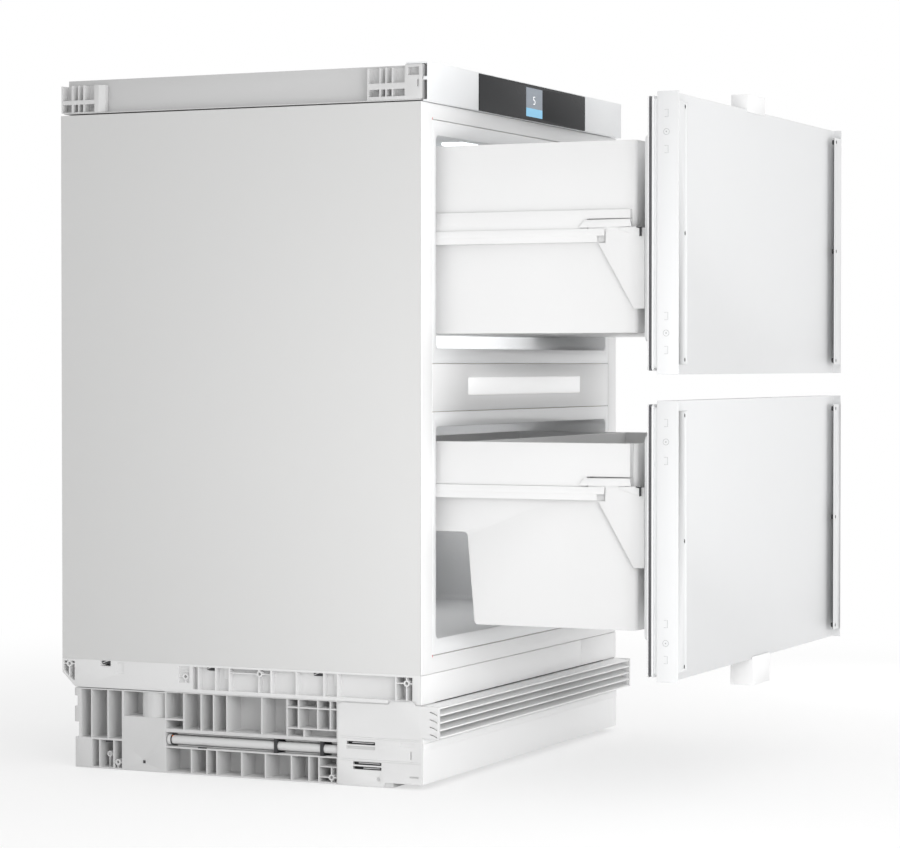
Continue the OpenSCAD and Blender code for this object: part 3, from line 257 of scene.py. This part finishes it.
finishes.update({"gasket_rubber": gasket, "black_rubber": black_rubber, "foam": foam,
                 "zinc_steel": zinc, "aluminium": aluminium, "fan_plastic": fan_plastic,
                 "glass_black": glass})
print("finishes in all", len(finishes))

# %% [markdown]
# ## Lit pieces
#
# The two lamps and the display give off light of their own. The light bar between the drawers is
# brightest at its foot, where its lamps are. The display is a window with a grey upper field and a
# blue band at its foot. So both choose their colour by height.

# %% Lamps and display
lens = Finish("lamp_lens", (0.86, 0.88, 0.90), 0.45, coat=0.2)
lens.tint(lens.noise(30.0), 0.98, 1.02)
lens.set("Emission Color", (0.90, 0.97, 1.0, 1.0))
lens.set("Emission Strength", 3.0)

BAR_BRIGHT, BAR_DIM = 0.418, 0.436
bar_lens = Finish("bar_lens", (0.84, 0.84, 0.84), 0.4)
bar_lens.tint(bar_lens.noise(30.0), 0.98, 1.02)
lit = 1.0 - bar_lens.axes()[2].ramp(BAR_BRIGHT, BAR_DIM)
bar_lens.set("Emission Color", lit.blend((0.08, 0.08, 0.08, 1.0), (1.0, 1.0, 1.0, 1.0)))
bar_lens.set("Emission Strength", 5.0)

BLUE_TOP = 0.7905
screen = Finish("display_screen", (0.32, 0.34, 0.37), 0.25, Specular_IOR_Level=0.06)
blue = screen.axes()[2].below(BLUE_TOP)
face = blue.blend((0.30, 0.33, 0.37, 1.0), (0.30, 0.62, 0.86, 1.0))
screen.set("Base Color", face)
screen.set("Emission Color", face)
screen.set("Emission Strength", 0.25)
finishes.update({"light_lens": lens, "display_blue": screen, "bar_lens": bar_lens,
                 "rod_steel": rod_steel})
print("lit finishes", [thing.material.name for thing in (lens, bar_lens, screen)])

# %% [markdown]
# ## Which piece gets which finish
#
# The model's record says what each piece is made of, and that picks the finish. A few pieces share
# a material but not a tone: the side bands and cheeks are paler than the ribbed carriers, the rods
# are drawn steel, and the light bar isn't the ceiling light.

# %% Put a finish on every piece
slot_of = {s["node"]: s["material_slot"] for s in frame["record"]["subparts"]}
own_finish = {"light_bar": "bar_lens", "adjusting_rod_left": "rod_steel",
              "adjusting_rod_right": "rod_steel", "base_bands": "band_plastic",
              "cheeks": "band_plastic"}
for name, thing in nodes.items():
    made = finishes[own_finish.get(name, slot_of[name])].material
    thing.data.materials.clear()
    thing.data.materials.append(made)
print("finished", len(nodes), "pieces")

# %% [markdown]
# ## Softened edges
#
# Moulded and pressed pieces never have knife edges: a mould needs small radii, and coated sheet
# bends round a tool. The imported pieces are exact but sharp, and their meshes are loose triangles.
# So each visible piece gets a copy whose corners are merged, whose flat faces are joined and cut
# into better triangles, and whose edges a Bevel modifier rounds. Its widths are kept even, because
# corners that slide along a sliver would smear the edge over a face. The copy stands where the
# piece stands and replaces it.

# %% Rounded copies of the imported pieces
SAME_CORNER, SAME_PLANE = 1e-6, math.radians(0.6)


def softened(name, width, angle=30.0):
    """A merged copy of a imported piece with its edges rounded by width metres."""
    source = nodes[name]
    mesh = source.data.copy()
    mesh.name = "soft_" + name
    shell = bmesh.new()
    shell.from_mesh(mesh)
    bmesh.ops.remove_doubles(shell, verts=shell.verts, dist=SAME_CORNER)
    bmesh.ops.dissolve_limit(shell, angle_limit=SAME_PLANE, verts=shell.verts, edges=shell.edges)
    bmesh.ops.triangulate(shell, faces=shell.faces, quad_method="BEAUTY", ngon_method="BEAUTY")
    shell.to_mesh(mesh)
    shell.free()
    mesh.shade_smooth()
    made = bpy.data.objects.new("soft_" + name, mesh)
    mesh.materials.clear()
    mesh.materials.append(source.data.materials[0])
    bpy.context.scene.collection.objects.link(made)
    edge = made.modifiers.new("edge", "BEVEL")
    edge.width, edge.segments, edge.limit_method = width, 2, "ANGLE"
    edge.angle_limit, edge.use_clamp_overlap, edge.harden_normals = math.radians(angle), False, True
    edge.loop_slide = False
    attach(made, body_of[name])
    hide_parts(name)
    return made


body_of = {n: b for b, members in frame["record"]["behaviour"]["bodies"].items() for n in members}
FINE, PLAIN, BROAD = 0.0002, 0.0004, 0.0008
widths = {"base_bands": FINE, "fascia_strip": FINE, "vent_grille": FINE, "top_brackets": PLAIN,
          "side_panel_left": FINE, "side_panel_right": FINE, "top_cover": PLAIN,
          "base_carrier_left": FINE, "base_carrier_right": FINE, "cheeks": FINE,
          "upper_drawer_rails": FINE, "lower_drawer_rails": FINE, "lower_container": BROAD,
          "front_frame": BROAD, "mid_rail_cover": BROAD, "upper_front_block": BROAD,
          "lower_front_block": BROAD, "console": PLAIN, "plinth_panel": PLAIN,
          "upper_door_panel": PLAIN, "lower_door_panel": PLAIN, "upper_door_liner": PLAIN,
          "lower_door_liner": PLAIN, "upper_gasket": PLAIN, "lower_gasket": PLAIN,
          "upper_liner": BROAD, "lower_liner": BROAD, "cabinet_rails": FINE,
          "upper_mid_rails": FINE, "lower_mid_rails": FINE, "duct_cover": PLAIN,
          "machine_cover": FINE, "rear_and_roof": FINE, "control_glass": FINE,
          "compressor": PLAIN, "power_inlet": PLAIN, "light_bar": PLAIN, "base_tray": FINE,
          "rod_clips": FINE, "fan_motor": FINE, "condenser_fan": FINE, "evaporator_fan": FINE,
          "drip_tray": PLAIN, "floor_pan": FINE, "front_foot_left": FINE, "front_foot_right": FINE,
          "rear_foot_left": FINE, "rear_foot_right": FINE}
soft = {name: softened(name, width) for name, width in widths.items()}
soft["upper_container"] = softened("upper_container", PLAIN, 40.0)
print("softened", len(soft), "pieces")

# %% [markdown]
# ## Shells worked out with numpy
#
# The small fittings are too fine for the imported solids. Each is a closed shell of one of three
# kinds: an outline carried along an axis, a profile turned round an axis, or a round bead laid
# along a line. All points of a shell are computed at once and its faces follow from their
# numbering. A fitting gathers its shells into one object, merges the corners that meet at a pole
# and turns every face outwards.

# %% Three kinds of shell
def prism(outline, start, end, axis=0):
    """A closed outline in the two other axes, carried straight from start to end on one axis."""
    outline = np.asarray(outline, float)
    count = len(outline)
    points = np.zeros((2, count, 3))
    points[:, :, [a for a in range(3) if a != axis]] = outline
    points[0, :, axis], points[1, :, axis] = start, end
    i = np.arange(count)
    sides = np.stack([i, (i + 1) % count, (i + 1) % count + count, i + count], 1)
    faces = sides.tolist() + [i[::-1].tolist(), (i + count).tolist()]
    return points.reshape(-1, 3), faces


def rounded(x0, x1, z0, z1, r, steps=5):
    """Rectangle with round corners: corner centre + r*(cos a, sin a), a quarter turn at each."""
    turn = np.linspace(0.0, np.pi/2, steps)
    centre = np.array([[x1 - r, z1 - r], [x0 + r, z1 - r], [x0 + r, z0 + r], [x1 - r, z0 + r]])
    angle = turn[None, :] + np.arange(4)[:, None]*np.pi/2
    ring = np.stack([np.cos(angle), np.sin(angle)], 2)*r + centre[:, None, :]
    return ring.reshape(-1, 2)


def grid_faces(rows, columns, close_rows, close_columns):
    """Quads between neighbours of a grid of points, closed round either way."""
    i, j = np.meshgrid(np.arange(rows - (not close_rows)),
                       np.arange(columns - (not close_columns)), indexing="ij")
    i, j = i.ravel(), j.ravel()
    below, right = (i + 1) % rows, (j + 1) % columns
    return np.stack([i*columns + j, below*columns + j, below*columns + right,
                     i*columns + right], 1).tolist()


def turned(profile, centre, axis=0, count=24):
    """A closed profile of (r, h) pairs: centre + r*(cos a, sin a) across the axis, h along it."""
    profile = np.asarray(profile, float)
    angle = np.linspace(0.0, 2*np.pi, count, endpoint=False)
    first, second = [a for a in range(3) if a != axis]
    points = np.zeros((len(profile), count, 3)) + np.asarray(centre, float)
    points[:, :, first] += profile[:, :1]*np.cos(angle)
    points[:, :, second] += profile[:, :1]*np.sin(angle)
    points[:, :, axis] += profile[:, 1:]
    return points.reshape(-1, 3), grid_faces(len(profile), count, True, True)


def bead(path, radius, normal, closed=False, sides=8):
    """A round bead on a flat path: path + radius*(cos a * sideways + sin a * normal)."""
    path, normal = np.asarray(path, float), np.asarray(normal, float)
    ahead = np.roll(path, -1, 0) - np.roll(path, 1, 0)
    if not closed:
        ahead[0], ahead[-1] = path[1] - path[0], path[-1] - path[-2]
    sideways = np.cross(ahead/np.linalg.norm(ahead, axis=1, keepdims=True), normal)
    angle = np.linspace(0.0, 2*np.pi, sides, endpoint=False)[None, :, None]
    points = path[:, None] + radius*(np.cos(angle)*sideways[:, None] + np.sin(angle)*normal)
    faces = grid_faces(len(path), sides, closed, True)
    if not closed:
        end = (len(path) - 1)*sides
        faces += [list(range(sides)), list(range(end, end + sides))]
    return points.reshape(-1, 3), faces


def fitting(name, shells, finish, body):
    """Joins shells into one object, merges poles and turns every face outwards."""
    starts = np.cumsum([0] + [len(points) for points, group in shells]).tolist()
    faces = [[k + start for k in face] for start, (points, group) in zip(starts, shells)
             for face in group]
    mesh = bpy.data.meshes.new(name)
    mesh.from_pydata(np.concatenate([points for points, group in shells]).tolist(), [], faces)
    shell = bmesh.new()
    shell.from_mesh(mesh)
    bmesh.ops.remove_doubles(shell, verts=shell.verts, dist=1e-7)
    bmesh.ops.recalc_face_normals(shell, faces=shell.faces)
    shell.to_mesh(mesh)
    shell.free()
    mesh.shade_smooth()
    mesh.set_sharp_from_angle(angle=math.radians(35.0))
    mesh.materials.append(finishes[finish].material)
    made = bpy.data.objects.new(name, mesh)
    bpy.context.scene.collection.objects.link(made)
    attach(made, body)
    print(name, len(mesh.polygons), "faces")


def behind(value):
    """Y of a depth in millimetres behind the cabinet's front face."""
    return value*MM + FRONT


def side_plate(y0, y1, z0, z1, r):
    """Rounded outline on a side face, in millimetres: depths behind the front, and heights."""
    return rounded(behind(y0), behind(y1), z0*MM, z1*MM, r*MM)


ALONG_X, ALONG_Y = (1.0, 0.0, 0.0), (0.0, 1.0, 0.0)
print("shells ready")

# %% [markdown]
# ## The digit on the display
#
# The display shows the set temperature as one plain digit. A rounded stroke is laid along a path:
# a bar, an upright and a bowl that is part of a circle. It glows white, as the backlit digit does.

# %% Digit
white_glow = Finish("digit_glow", (0.9, 0.9, 0.9), 0.5)
white_glow.tint(white_glow.noise(400.0), 0.97, 1.03)
white_glow.set("Emission Color", (1.0, 1.0, 1.0, 1.0))
white_glow.set("Emission Strength", 0.7)
finishes["digit_glow"] = white_glow

DIGIT_X, DIGIT_Z, STROKE_R = 5.2*MM, 800.2*MM, 0.45*MM
BAR_AND_UPRIGHT = [[2.5, 4.6], [-1.9, 4.6], [-2.2, 0.9]]
BOWL_X, BOWL_Z, BOWL_R = -0.2, -1.6, 2.8
face_y = min(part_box("display")[0][1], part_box("control_glass")[0][1])
bowl = np.radians(np.linspace(118.0, -135.0, 24))
bowl = np.stack([BOWL_X + BOWL_R*np.cos(bowl), BOWL_Z + BOWL_R*np.sin(bowl)], 1)
stroke = np.concatenate([BAR_AND_UPRIGHT, bowl])*MM
digit_path = np.stack([DIGIT_X + stroke[:, 0], np.full(len(stroke), face_y),
                       DIGIT_Z + stroke[:, 1]], 1)
fitting("display_digit", [bead(digit_path, STROKE_R, ALONG_Y)], "digit_glow",
        "cabinet")

# %% [markdown]
# ## Stamped marks on the door rims
#
# Each door's steel rim carries groups of small stamped marks near its ends: open brackets and
# circles with a dot, where the fitter lines up the furniture front. On the real door they are
# pressed lines, so fine beads laid half in the surface catch the light the same way.

# %% Rim marks
RIM_X = 297.5*MM
MARK_Y = FRONT - OUT - 23.6*MM
MARK_BEAD, RING_R, RING_STEPS = 0.22*MM, 3.3*MM, 20
DOT_PROFILE = np.array([(0.0, -0.3), (0.8, -0.3), (0.8, 0.3), (0.0, 0.3)])*MM
BRACKET = np.array([[2.0, 4.0], [-2.0, 4.0], [-2.0, -4.0], [2.0, -4.0]])*MM


def on_rim(x, z, flat):
    """A flat outline set upright on the rim at height z millimetres."""
    return np.stack([np.full(len(flat), x), MARK_Y + flat[:, 0], z*MM + flat[:, 1]], 1)


def rim_marks(name, body, rows, middle):
    """Beads at the given heights on both rims: a ring with a dot where the height is a middle."""
    turn = np.linspace(0.0, 2*np.pi, RING_STEPS, endpoint=False)
    ring = RING_R*np.stack([np.cos(turn), np.sin(turn)], 1)
    shells = []
    for x in (-RIM_X, RIM_X):
        for z in rows:
            if z in middle:
                shells.append(bead(on_rim(x, z, ring), MARK_BEAD, ALONG_X, closed=True))
                shells.append(turned(DOT_PROFILE, (x, MARK_Y, z*MM), 0, 12))
            else:
                shells.append(bead(on_rim(x, z, BRACKET), MARK_BEAD, ALONG_X))
    fitting(name, shells, "mark_steel", body)


finishes["mark_steel"] = moulded("mark_steel", (0.40, 0.40, 0.41), 0.4, 900.0, 0.00002)
rim_marks("upper_rim_marks", "upper_drawer",
          (751.5, 731.5, 712.6, 532.3, 513.9, 495.5), (731.5, 513.9))
rim_marks("lower_rim_marks", "lower_drawer",
          (416.6, 396.0, 375.4, 198.6, 177.5, 159.5), (396.0, 177.5))

# %% [markdown]
# ## Nuts behind the screw flanges, black as painted shade
#
# The furniture front is screwed to the two flanges of each door. Behind every hole sits a black
# plate with a collar, shaped as a pressed nut; its black is painted shade, so that the holes read
# as dark dots. A nut is a square plate with round corners and a turned collar, held against the
# back of the flange.

# %% Flange nuts, black as painted shade
DOOR_SHEET = 0.8*MM
NUT_X, NUT_END = 277.0*MM, 16.0*MM
NUT_HALF, NUT_CORNER, NUT_T, COLLAR_BASE = 5.0*MM, 1.2*MM, 1.4*MM, 1.0*MM
NUT_COLLAR = np.array([(0.0, 0.0), (3.4, 0.0), (3.0, 3.5), (0.0, 3.5)])*MM


def flange_shade_nuts(name, node, body):
    """A black plate and collar behind each of the six holes of a door's flanges; the black is
    painted shade.
    """
    low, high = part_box(node)
    back = low[1] + DOOR_SHEET
    shells = []
    for x in (-NUT_X, NUT_X):
        for z in (low[2] + NUT_END, (low[2] + high[2])/2, high[2] - NUT_END):
            plate = rounded(x - NUT_HALF, x + NUT_HALF, z - NUT_HALF, z + NUT_HALF, NUT_CORNER)
            shells.append(prism(plate, back, back + NUT_T, 1))
            shells.append(turned(NUT_COLLAR, (x, back + COLLAR_BASE, z), 1, 20))
    # The black of these plates and collars is painted shade seen through the flange holes.
    fitting(name, shells, "black_steel", body)


flange_shade_nuts("upper_flange_shade_nuts", "upper_door_panel", "upper_drawer")
flange_shade_nuts("lower_flange_shade_nuts", "lower_door_panel", "lower_drawer")

# %% [markdown]
# ## Painted shade inside the door webs
#
# A dark grey strip runs down the inner face of each door's side web, behind the screw flange:
# painted shade where the flange overhangs. It is a rounded strip that stops short at both ends.

# %% Painted shade strips in the webs
# Painted shade: the dark grey of this strip stands for the shade under the screw flange.
finishes["web_shade_grey"] = moulded("web_shade_grey", (0.13, 0.13, 0.135), 0.8, 1500.0, 0.00004)
SHADE_STRIP_FRONT, SHADE_STRIP_BACK, SHADE_STRIP_END = 1.5*MM, 10.0*MM, 14.0*MM
SHADE_STRIP_CORNER, SHADE_STRIP_T = 1.0*MM, 0.6*MM


def web_shade_strip(name, node, body):
    """One thin strip of painted shade inside each web of a door: its outline in depth and height,
    carried in x.
    """
    low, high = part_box(node)
    strip = rounded(low[1] + SHADE_STRIP_FRONT, low[1] + SHADE_STRIP_BACK,
                    low[2] + SHADE_STRIP_END, high[2] - SHADE_STRIP_END, SHADE_STRIP_CORNER)
    inside = high[0] - DOOR_SHEET
    shells = [prism(strip, side*inside, side*(inside - SHADE_STRIP_T)) for side in BOTH_SIDES]
    fitting(name, shells, "web_shade_grey", body)


web_shade_strip("upper_web_shade_strip", "upper_door_panel", "upper_drawer")
web_shade_strip("lower_web_shade_strip", "lower_door_panel", "lower_drawer")

# %% [markdown]
# ## Dark plates and blades in the base
#
# Black plates sit in the slots of the side bands, and a pale tongue crosses each of them. The
# cheeks have pairs of slots with a black plate in each hollow and pale blades behind them, the
# carriers have narrow slits with black plates in them, and the gear cover has a small square key
# hole with a raised frame and a black plate in it. These black plates are painted shade in the
# slots, hollows and hole.
# Each row below gives depths behind the front and heights.

# %% Painted shade in the slots, blades and key hole
BAND_SLOTS = ((408.3, 421.7, 124.3, 130.2, 294.5), (269.8, 281.8, 122.8, 128.6, 290.2),
              (129.4, 141.4, 122.2, 128.0, 290.2))
CHEEK_SLOTS = ((59.0, 42.0), (51.0, 19.0))
CHEEK_BLADES = ((1.0, 24.0), (6.6, 30.0))
CARRIER_SLITS = ((407.0, 416.0, 31.7, 33.6), (279.4, 290.7, 30.1, 32.2),
                 (147.2, 158.9, 28.9, 30.9))
KEY_HOLE = side_plate(360.6, 364.8, 9.0, 13.2, 0.5)


def across(outline, outer, inner, side):
    """An outline on a side face, carried between two distances in millimetres from the middle."""
    return prism(outline, side*outer*MM, side*inner*MM)


# dark gathers the black plates: painted shade in the band slots, cheek hollows, carrier slits and
# key hole.
dark, pale = [], []
for side in BOTH_SIDES:
    for y0, y1, z0, z1, x in BAND_SLOTS:
        dark.append(across(side_plate(y0, y1, z0, z1, 0.6), x, x - 2.0, side))
        slant = np.array([(y0 + 1.5, z1 - 1.2), (y0 + 2.5, z1 - 0.4), (y1 - 0.4, z0 + 1.4),
                          (y1 - 0.4, z0 + 0.5)])*MM + np.array([FRONT, 0.0])
        pale.append(across(slant, x + 1.0, x - 0.1, side))
    for y0, z0 in CHEEK_SLOTS:
        hollow = side_plate(y0 - 0.6, y0 + 36.6, z0 - 0.4, z0 + 9.2, 0.8)
        dark.append(across(hollow, 292.5, 290.5, side))
        for shift, length in CHEEK_BLADES:
            blade = side_plate(y0 + 3.0, y0 + length, z0 + shift, z0 + shift + 0.9, 0.3)
            pale.append(across(blade, 296.0, 292.4, side))
    for y0, y1, z0, z1 in CARRIER_SLITS:
        dark.append(across(side_plate(y0, y1, z0, z1, 0.3), 296.4, 295.0, side))
    dark.append(across(KEY_HOLE, 296.6, 297.2, side))
    ring = np.stack([np.full(len(KEY_HOLE), side*0.2971), KEY_HOLE[:, 0], KEY_HOLE[:, 1]], 1)
    pale.append(bead(ring, 0.35*MM, ALONG_X, closed=True))
# The black plates are painted shade in the slots, hollows and key hole.
fitting("base_slot_shade", dark, "black_plastic", "cabinet")
fitting("base_blades", pale, "rib_plastic", "cabinet")

# %% [markdown]
# ## Gear collars with orange keys
#
# At the rear end of each adjusting rod a dark worm collar drives the foot, and an orange key
# shows on it. The collar is a turned ring on the rod's own axis, the key a short rounded peg.
# Both turn with the rod.

# %% Rod collars
RODS = ("adjusting_rod_left", "adjusting_rod_right")
COLLAR_BEFORE_END, KEY_ASIDE, KEY_UNDER_RIM = 4.1*MM, 2.4*MM, 2.2*MM
KEY_PROFILE = np.array([(0.0, -2.2), (1.1, -1.8), (1.4, 0.0), (0.0, 0.0)])*MM


def rod_measures(name):
    """X and Z of a rod's axis, its radius, its rear end, and which way is out."""
    low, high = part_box(name)
    axis_x, axis_z = (low[0] + high[0])/2, (low[2] + high[2])/2
    return axis_x, axis_z, (high[0] - low[0])/2, high[1], -1.0 if axis_x < 0 else 1.0


finishes["orange_key"] = moulded("orange_key", (0.72, 0.16, 0.02), 0.4, 900.0, 0.00002)
for name in RODS:
    axis_x, axis_z, rim, end, outward = rod_measures(name)
    end = end - COLLAR_BEFORE_END
    collar = [(rim - 1.0*MM, -1.2*MM), (rim, -0.6*MM), (rim, 0.0), (rim - 1.0*MM, 0.0)]
    fitting(name + "_collar", [turned(collar, (axis_x, end, axis_z), 1)],
            "black_plastic", name)
    key_at = (axis_x + outward*KEY_ASIDE, end, axis_z + rim - KEY_UNDER_RIM)
    fitting(name + "_key", [turned(KEY_PROFILE, key_at, 1, 16)],
            "orange_key", name)

# %% [markdown]
# ## Troughs of the adjusting rods
#
# Each rod lies in a moulded half-round trough of the carrier, so little dark shows round it. The
# trough is an arc of two radii about the rod's axis, carried along between the rod's clips.

# %% Rod troughs
TROUGH_SPANS = ((190.0, 322.0), (130.0, 179.0), (92.0, 119.0))
ROOM, TROUGH_OUTER = 0.4*MM, 1.4*MM
troughs = []
turn = np.radians(np.linspace(-78.0, 78.0, 25))
for name in RODS:
    axis_x, axis_z, rim, end, outward = rod_measures(name)
    arc = np.stack([-outward*np.cos(turn), np.sin(turn)], 1)
    shape = np.concatenate([arc*(rim + ROOM), arc[::-1]*(rim + TROUGH_OUTER)])
    shape = shape + np.array([axis_x, axis_z])
    for y0, y1 in TROUGH_SPANS:
        troughs.append(prism(shape, behind(y0), behind(y1), 1))
fitting("rod_troughs", troughs, "rib_plastic", "cabinet")
print("rods lie in", len(troughs), "lengths of trough, rod radius", round(rim, 5))

# %% [markdown]
# ## Locking tabs and seam marks
#
# A small black tab locks each door bracket where it meets the door, and tiny red marks show at
# the corners of the liner seams. The tab is a stepped plate, the mark a rounded one, and both
# stand just proud of what they sit on.

# %% Tabs and marks
TAB_UNDER_TOP, TAB_PROUD, TAB_INTO = 10.0*MM, 0.1*MM, 1.2*MM
TAB_OUTLINE = np.array([[20.2, -9.0], [22.6, -9.6], [22.6, -0.6], [26.5, 0.4], [26.5, 1.4],
                        [20.2, 1.0]])*MM
TICK_X, TICK_HEIGHTS = 270.2*MM, (758.2*MM, 148.7*MM)
TICK_HALF, TICK_TALL, TICK_CORNER = 0.4*MM, 1.4*MM, 0.3*MM


def tabs(name, node, body):
    """A black stepped plate at the front end of both rails of a drawer, under the rail's top."""
    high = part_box(node)[1]
    step = TAB_OUTLINE + np.array([FRONT - OUT, high[2] - TAB_UNDER_TOP])
    shells = [prism(step, side*(high[0] + TAB_PROUD), side*(high[0] - TAB_INTO))
              for side in BOTH_SIDES]
    fitting(name, shells, "black_plastic", body)


finishes["red_mark"] = moulded("red_mark", (0.75, 0.10, 0.10), 0.4, 900.0, 0.00001)
ticks = []
for x in (-TICK_X, TICK_X):
    for z in TICK_HEIGHTS:
        tick = rounded(x - TICK_HALF, x + TICK_HALF, z - TICK_TALL, z + TICK_TALL, TICK_CORNER)
        ticks.append(prism(tick, behind(-0.1), behind(0.3), 1))
fitting("seam_marks", ticks, "red_mark", "cabinet")
tabs("upper_bracket_tabs", "upper_drawer_rails", "upper_drawer")
tabs("lower_bracket_tabs", "lower_drawer_rails", "lower_drawer")

# %% [markdown]
# ## The floor and the surround
#
# The floor is pale and keeps the object's shadow. To the camera and in reflections it is partly
# shown as plain white, wholly so from a short way off, so that it runs into the white surround
# without a line. The surround lights the object at less than full white.

# %% Floor and surround
FLOOR_HALF, FLOOR_Z = 12.0, -0.0005
WHITE_NEAR, FADE_FROM, FADE_TO = 0.6, 0.6, 1.7
SURROUND = 0.73


def shown_rays(tree):
    """1 for the rays that show the background: from the camera, mirrored, or passed through."""
    rays = tree.nodes.new("ShaderNodeLightPath").outputs
    kinds = [Wave(tree, rays[k]) for k in ("Is Camera Ray", "Is Glossy Ray", "Is Transmission Ray")]
    return (kinds[0] + kinds[1] + kinds[2]).clamp()


mesh = bpy.data.meshes.new("studio_floor")
mesh.from_pydata([(x*FLOOR_HALF, y*FLOOR_HALF, FLOOR_Z)
                  for x, y in ((-1, -1), (1, -1), (1, 1), (-1, 1))], [], [(0, 1, 2, 3)])
floor = bpy.data.objects.new("studio_floor", mesh)
bpy.context.scene.collection.objects.link(floor)

floor_finish = bpy.data.materials.new("studio_floor")
floor_finish.use_nodes = True
tree = floor_finish.node_tree
tree.nodes.clear()
ground = Wave(tree, None)
diffuse = ground.node("ShaderNodeBsdfDiffuse", {}, {"Color": (0.95, 0.95, 0.95, 1.0)})
white = ground.node("ShaderNodeEmission", {}, {"Color": (1, 1, 1, 1), "Strength": 1.0})
place = ground.node("ShaderNodeTexCoord", out=3)
reach = ground.node("ShaderNodeVectorMath", {"operation": "LENGTH"}, {0: place}, out=1)
fade = WHITE_NEAR + (1.0 - WHITE_NEAR) * reach.ramp(FADE_FROM, FADE_TO)
mixed = ground.node("ShaderNodeMixShader", {}, {0: shown_rays(tree) * fade, 1: diffuse, 2: white})
tree.links.new(mixed.socket, tree.nodes.new("ShaderNodeOutputMaterial").inputs[0])
mesh.materials.append(floor_finish)

world = bpy.data.worlds.new("studio")
bpy.context.scene.world = world
world.use_nodes = True
tree = world.node_tree
tree.nodes.clear()
sky = Wave(tree, None)
plain = sky.node("ShaderNodeBackground", {}, {"Color": (1.0, 1.0, 1.0, 1.0), "Strength": SURROUND})
bright = sky.node("ShaderNodeBackground", {}, {"Color": (1.0, 1.0, 1.0, 1.0), "Strength": 1.0})
mixed = sky.node("ShaderNodeMixShader", {}, {0: shown_rays(tree), 1: plain, 2: bright})
tree.links.new(mixed.socket, tree.nodes.new("ShaderNodeOutputWorld").inputs[0])
print("floor and surround ready")

# %% [markdown]
# ## The lamps
#
# Soft square lamps, at a level at which a colour renders about as it is written. One stands at
# each side and one low in front, to reach under and between the doors; one hangs above; and a
# small one lights each compartment from behind its container, as the refrigerator's own light
# would. They aren't seen themselves, neither directly nor in a reflection.

# %% Lamps
LAMPS = (("side_soft", (-1.25, -1.05, 0.50), (-0.3, -0.24, 0.42), 0.6, 6.0),
         ("front_soft", (-0.9, -3.3, 0.26), (0.0, -0.3, 0.22), 1.4, 25.0),
         ("right_soft", (1.25, -0.56, 0.40), (0.1, -0.30, 0.30), 0.3, 2.3),
         ("top_soft", (0.2, -0.4, 3.0), (0.0, -0.2, 0.4), 2.4, 9.0),
         ("upper_inside", (0.0, 0.10, 0.60), (0.0, -0.25, 0.50), 0.16, 1.0),
         ("lower_inside", (0.0, 0.06, 0.36), (0.0, -0.25, 0.25), 0.16, 0.5))


def stand(thing, place, look):
    """Puts a lamp or camera in its place, looking along a direction."""
    thing.location = place
    thing.rotation_mode = "QUATERNION"
    thing.rotation_quaternion = look.to_track_quat("-Z", "Y")
    bpy.context.scene.collection.objects.link(thing)


for name, place, aim, size, power in LAMPS:
    data = bpy.data.lights.new(name, "AREA")
    data.shape, data.size, data.energy = "SQUARE", size, power
    lamp = bpy.data.objects.new(name, data)
    lamp.visible_camera = lamp.visible_glossy = False
    stand(lamp, place, Vector(aim) - Vector(place))
print("lamps", [row[0] for row in LAMPS])

# %% [markdown]
# ## The camera
#
# It stands where the photograph was taken: front left, a little above the middle of the cabinet,
# with a long lens. Its place and direction come from fitting a camera to corners that can be
# seen in the photograph.

# %% Camera
CAMERA_AT = (-3.23277, -1.38379 + FRONT, 0.48002)
YAW, PITCH = math.radians(65.310), math.radians(1.184)
SENSOR, LENS = 36.0, 115.44
camera_data = bpy.data.cameras.new("camera")
camera_data.sensor_width, camera_data.lens = SENSOR, LENS
camera_data.clip_start, camera_data.clip_end = 0.1, 60.0
camera = bpy.data.objects.new("camera", camera_data)
stand(camera, CAMERA_AT, Vector((math.sin(YAW) * math.cos(PITCH), math.cos(YAW) * math.cos(PITCH),
                                 -math.sin(PITCH))))
bpy.context.scene.camera = camera
bpy.context.scene.view_settings.view_transform = "Standard"
print("camera at", [round(c, 4) for c in CAMERA_AT])
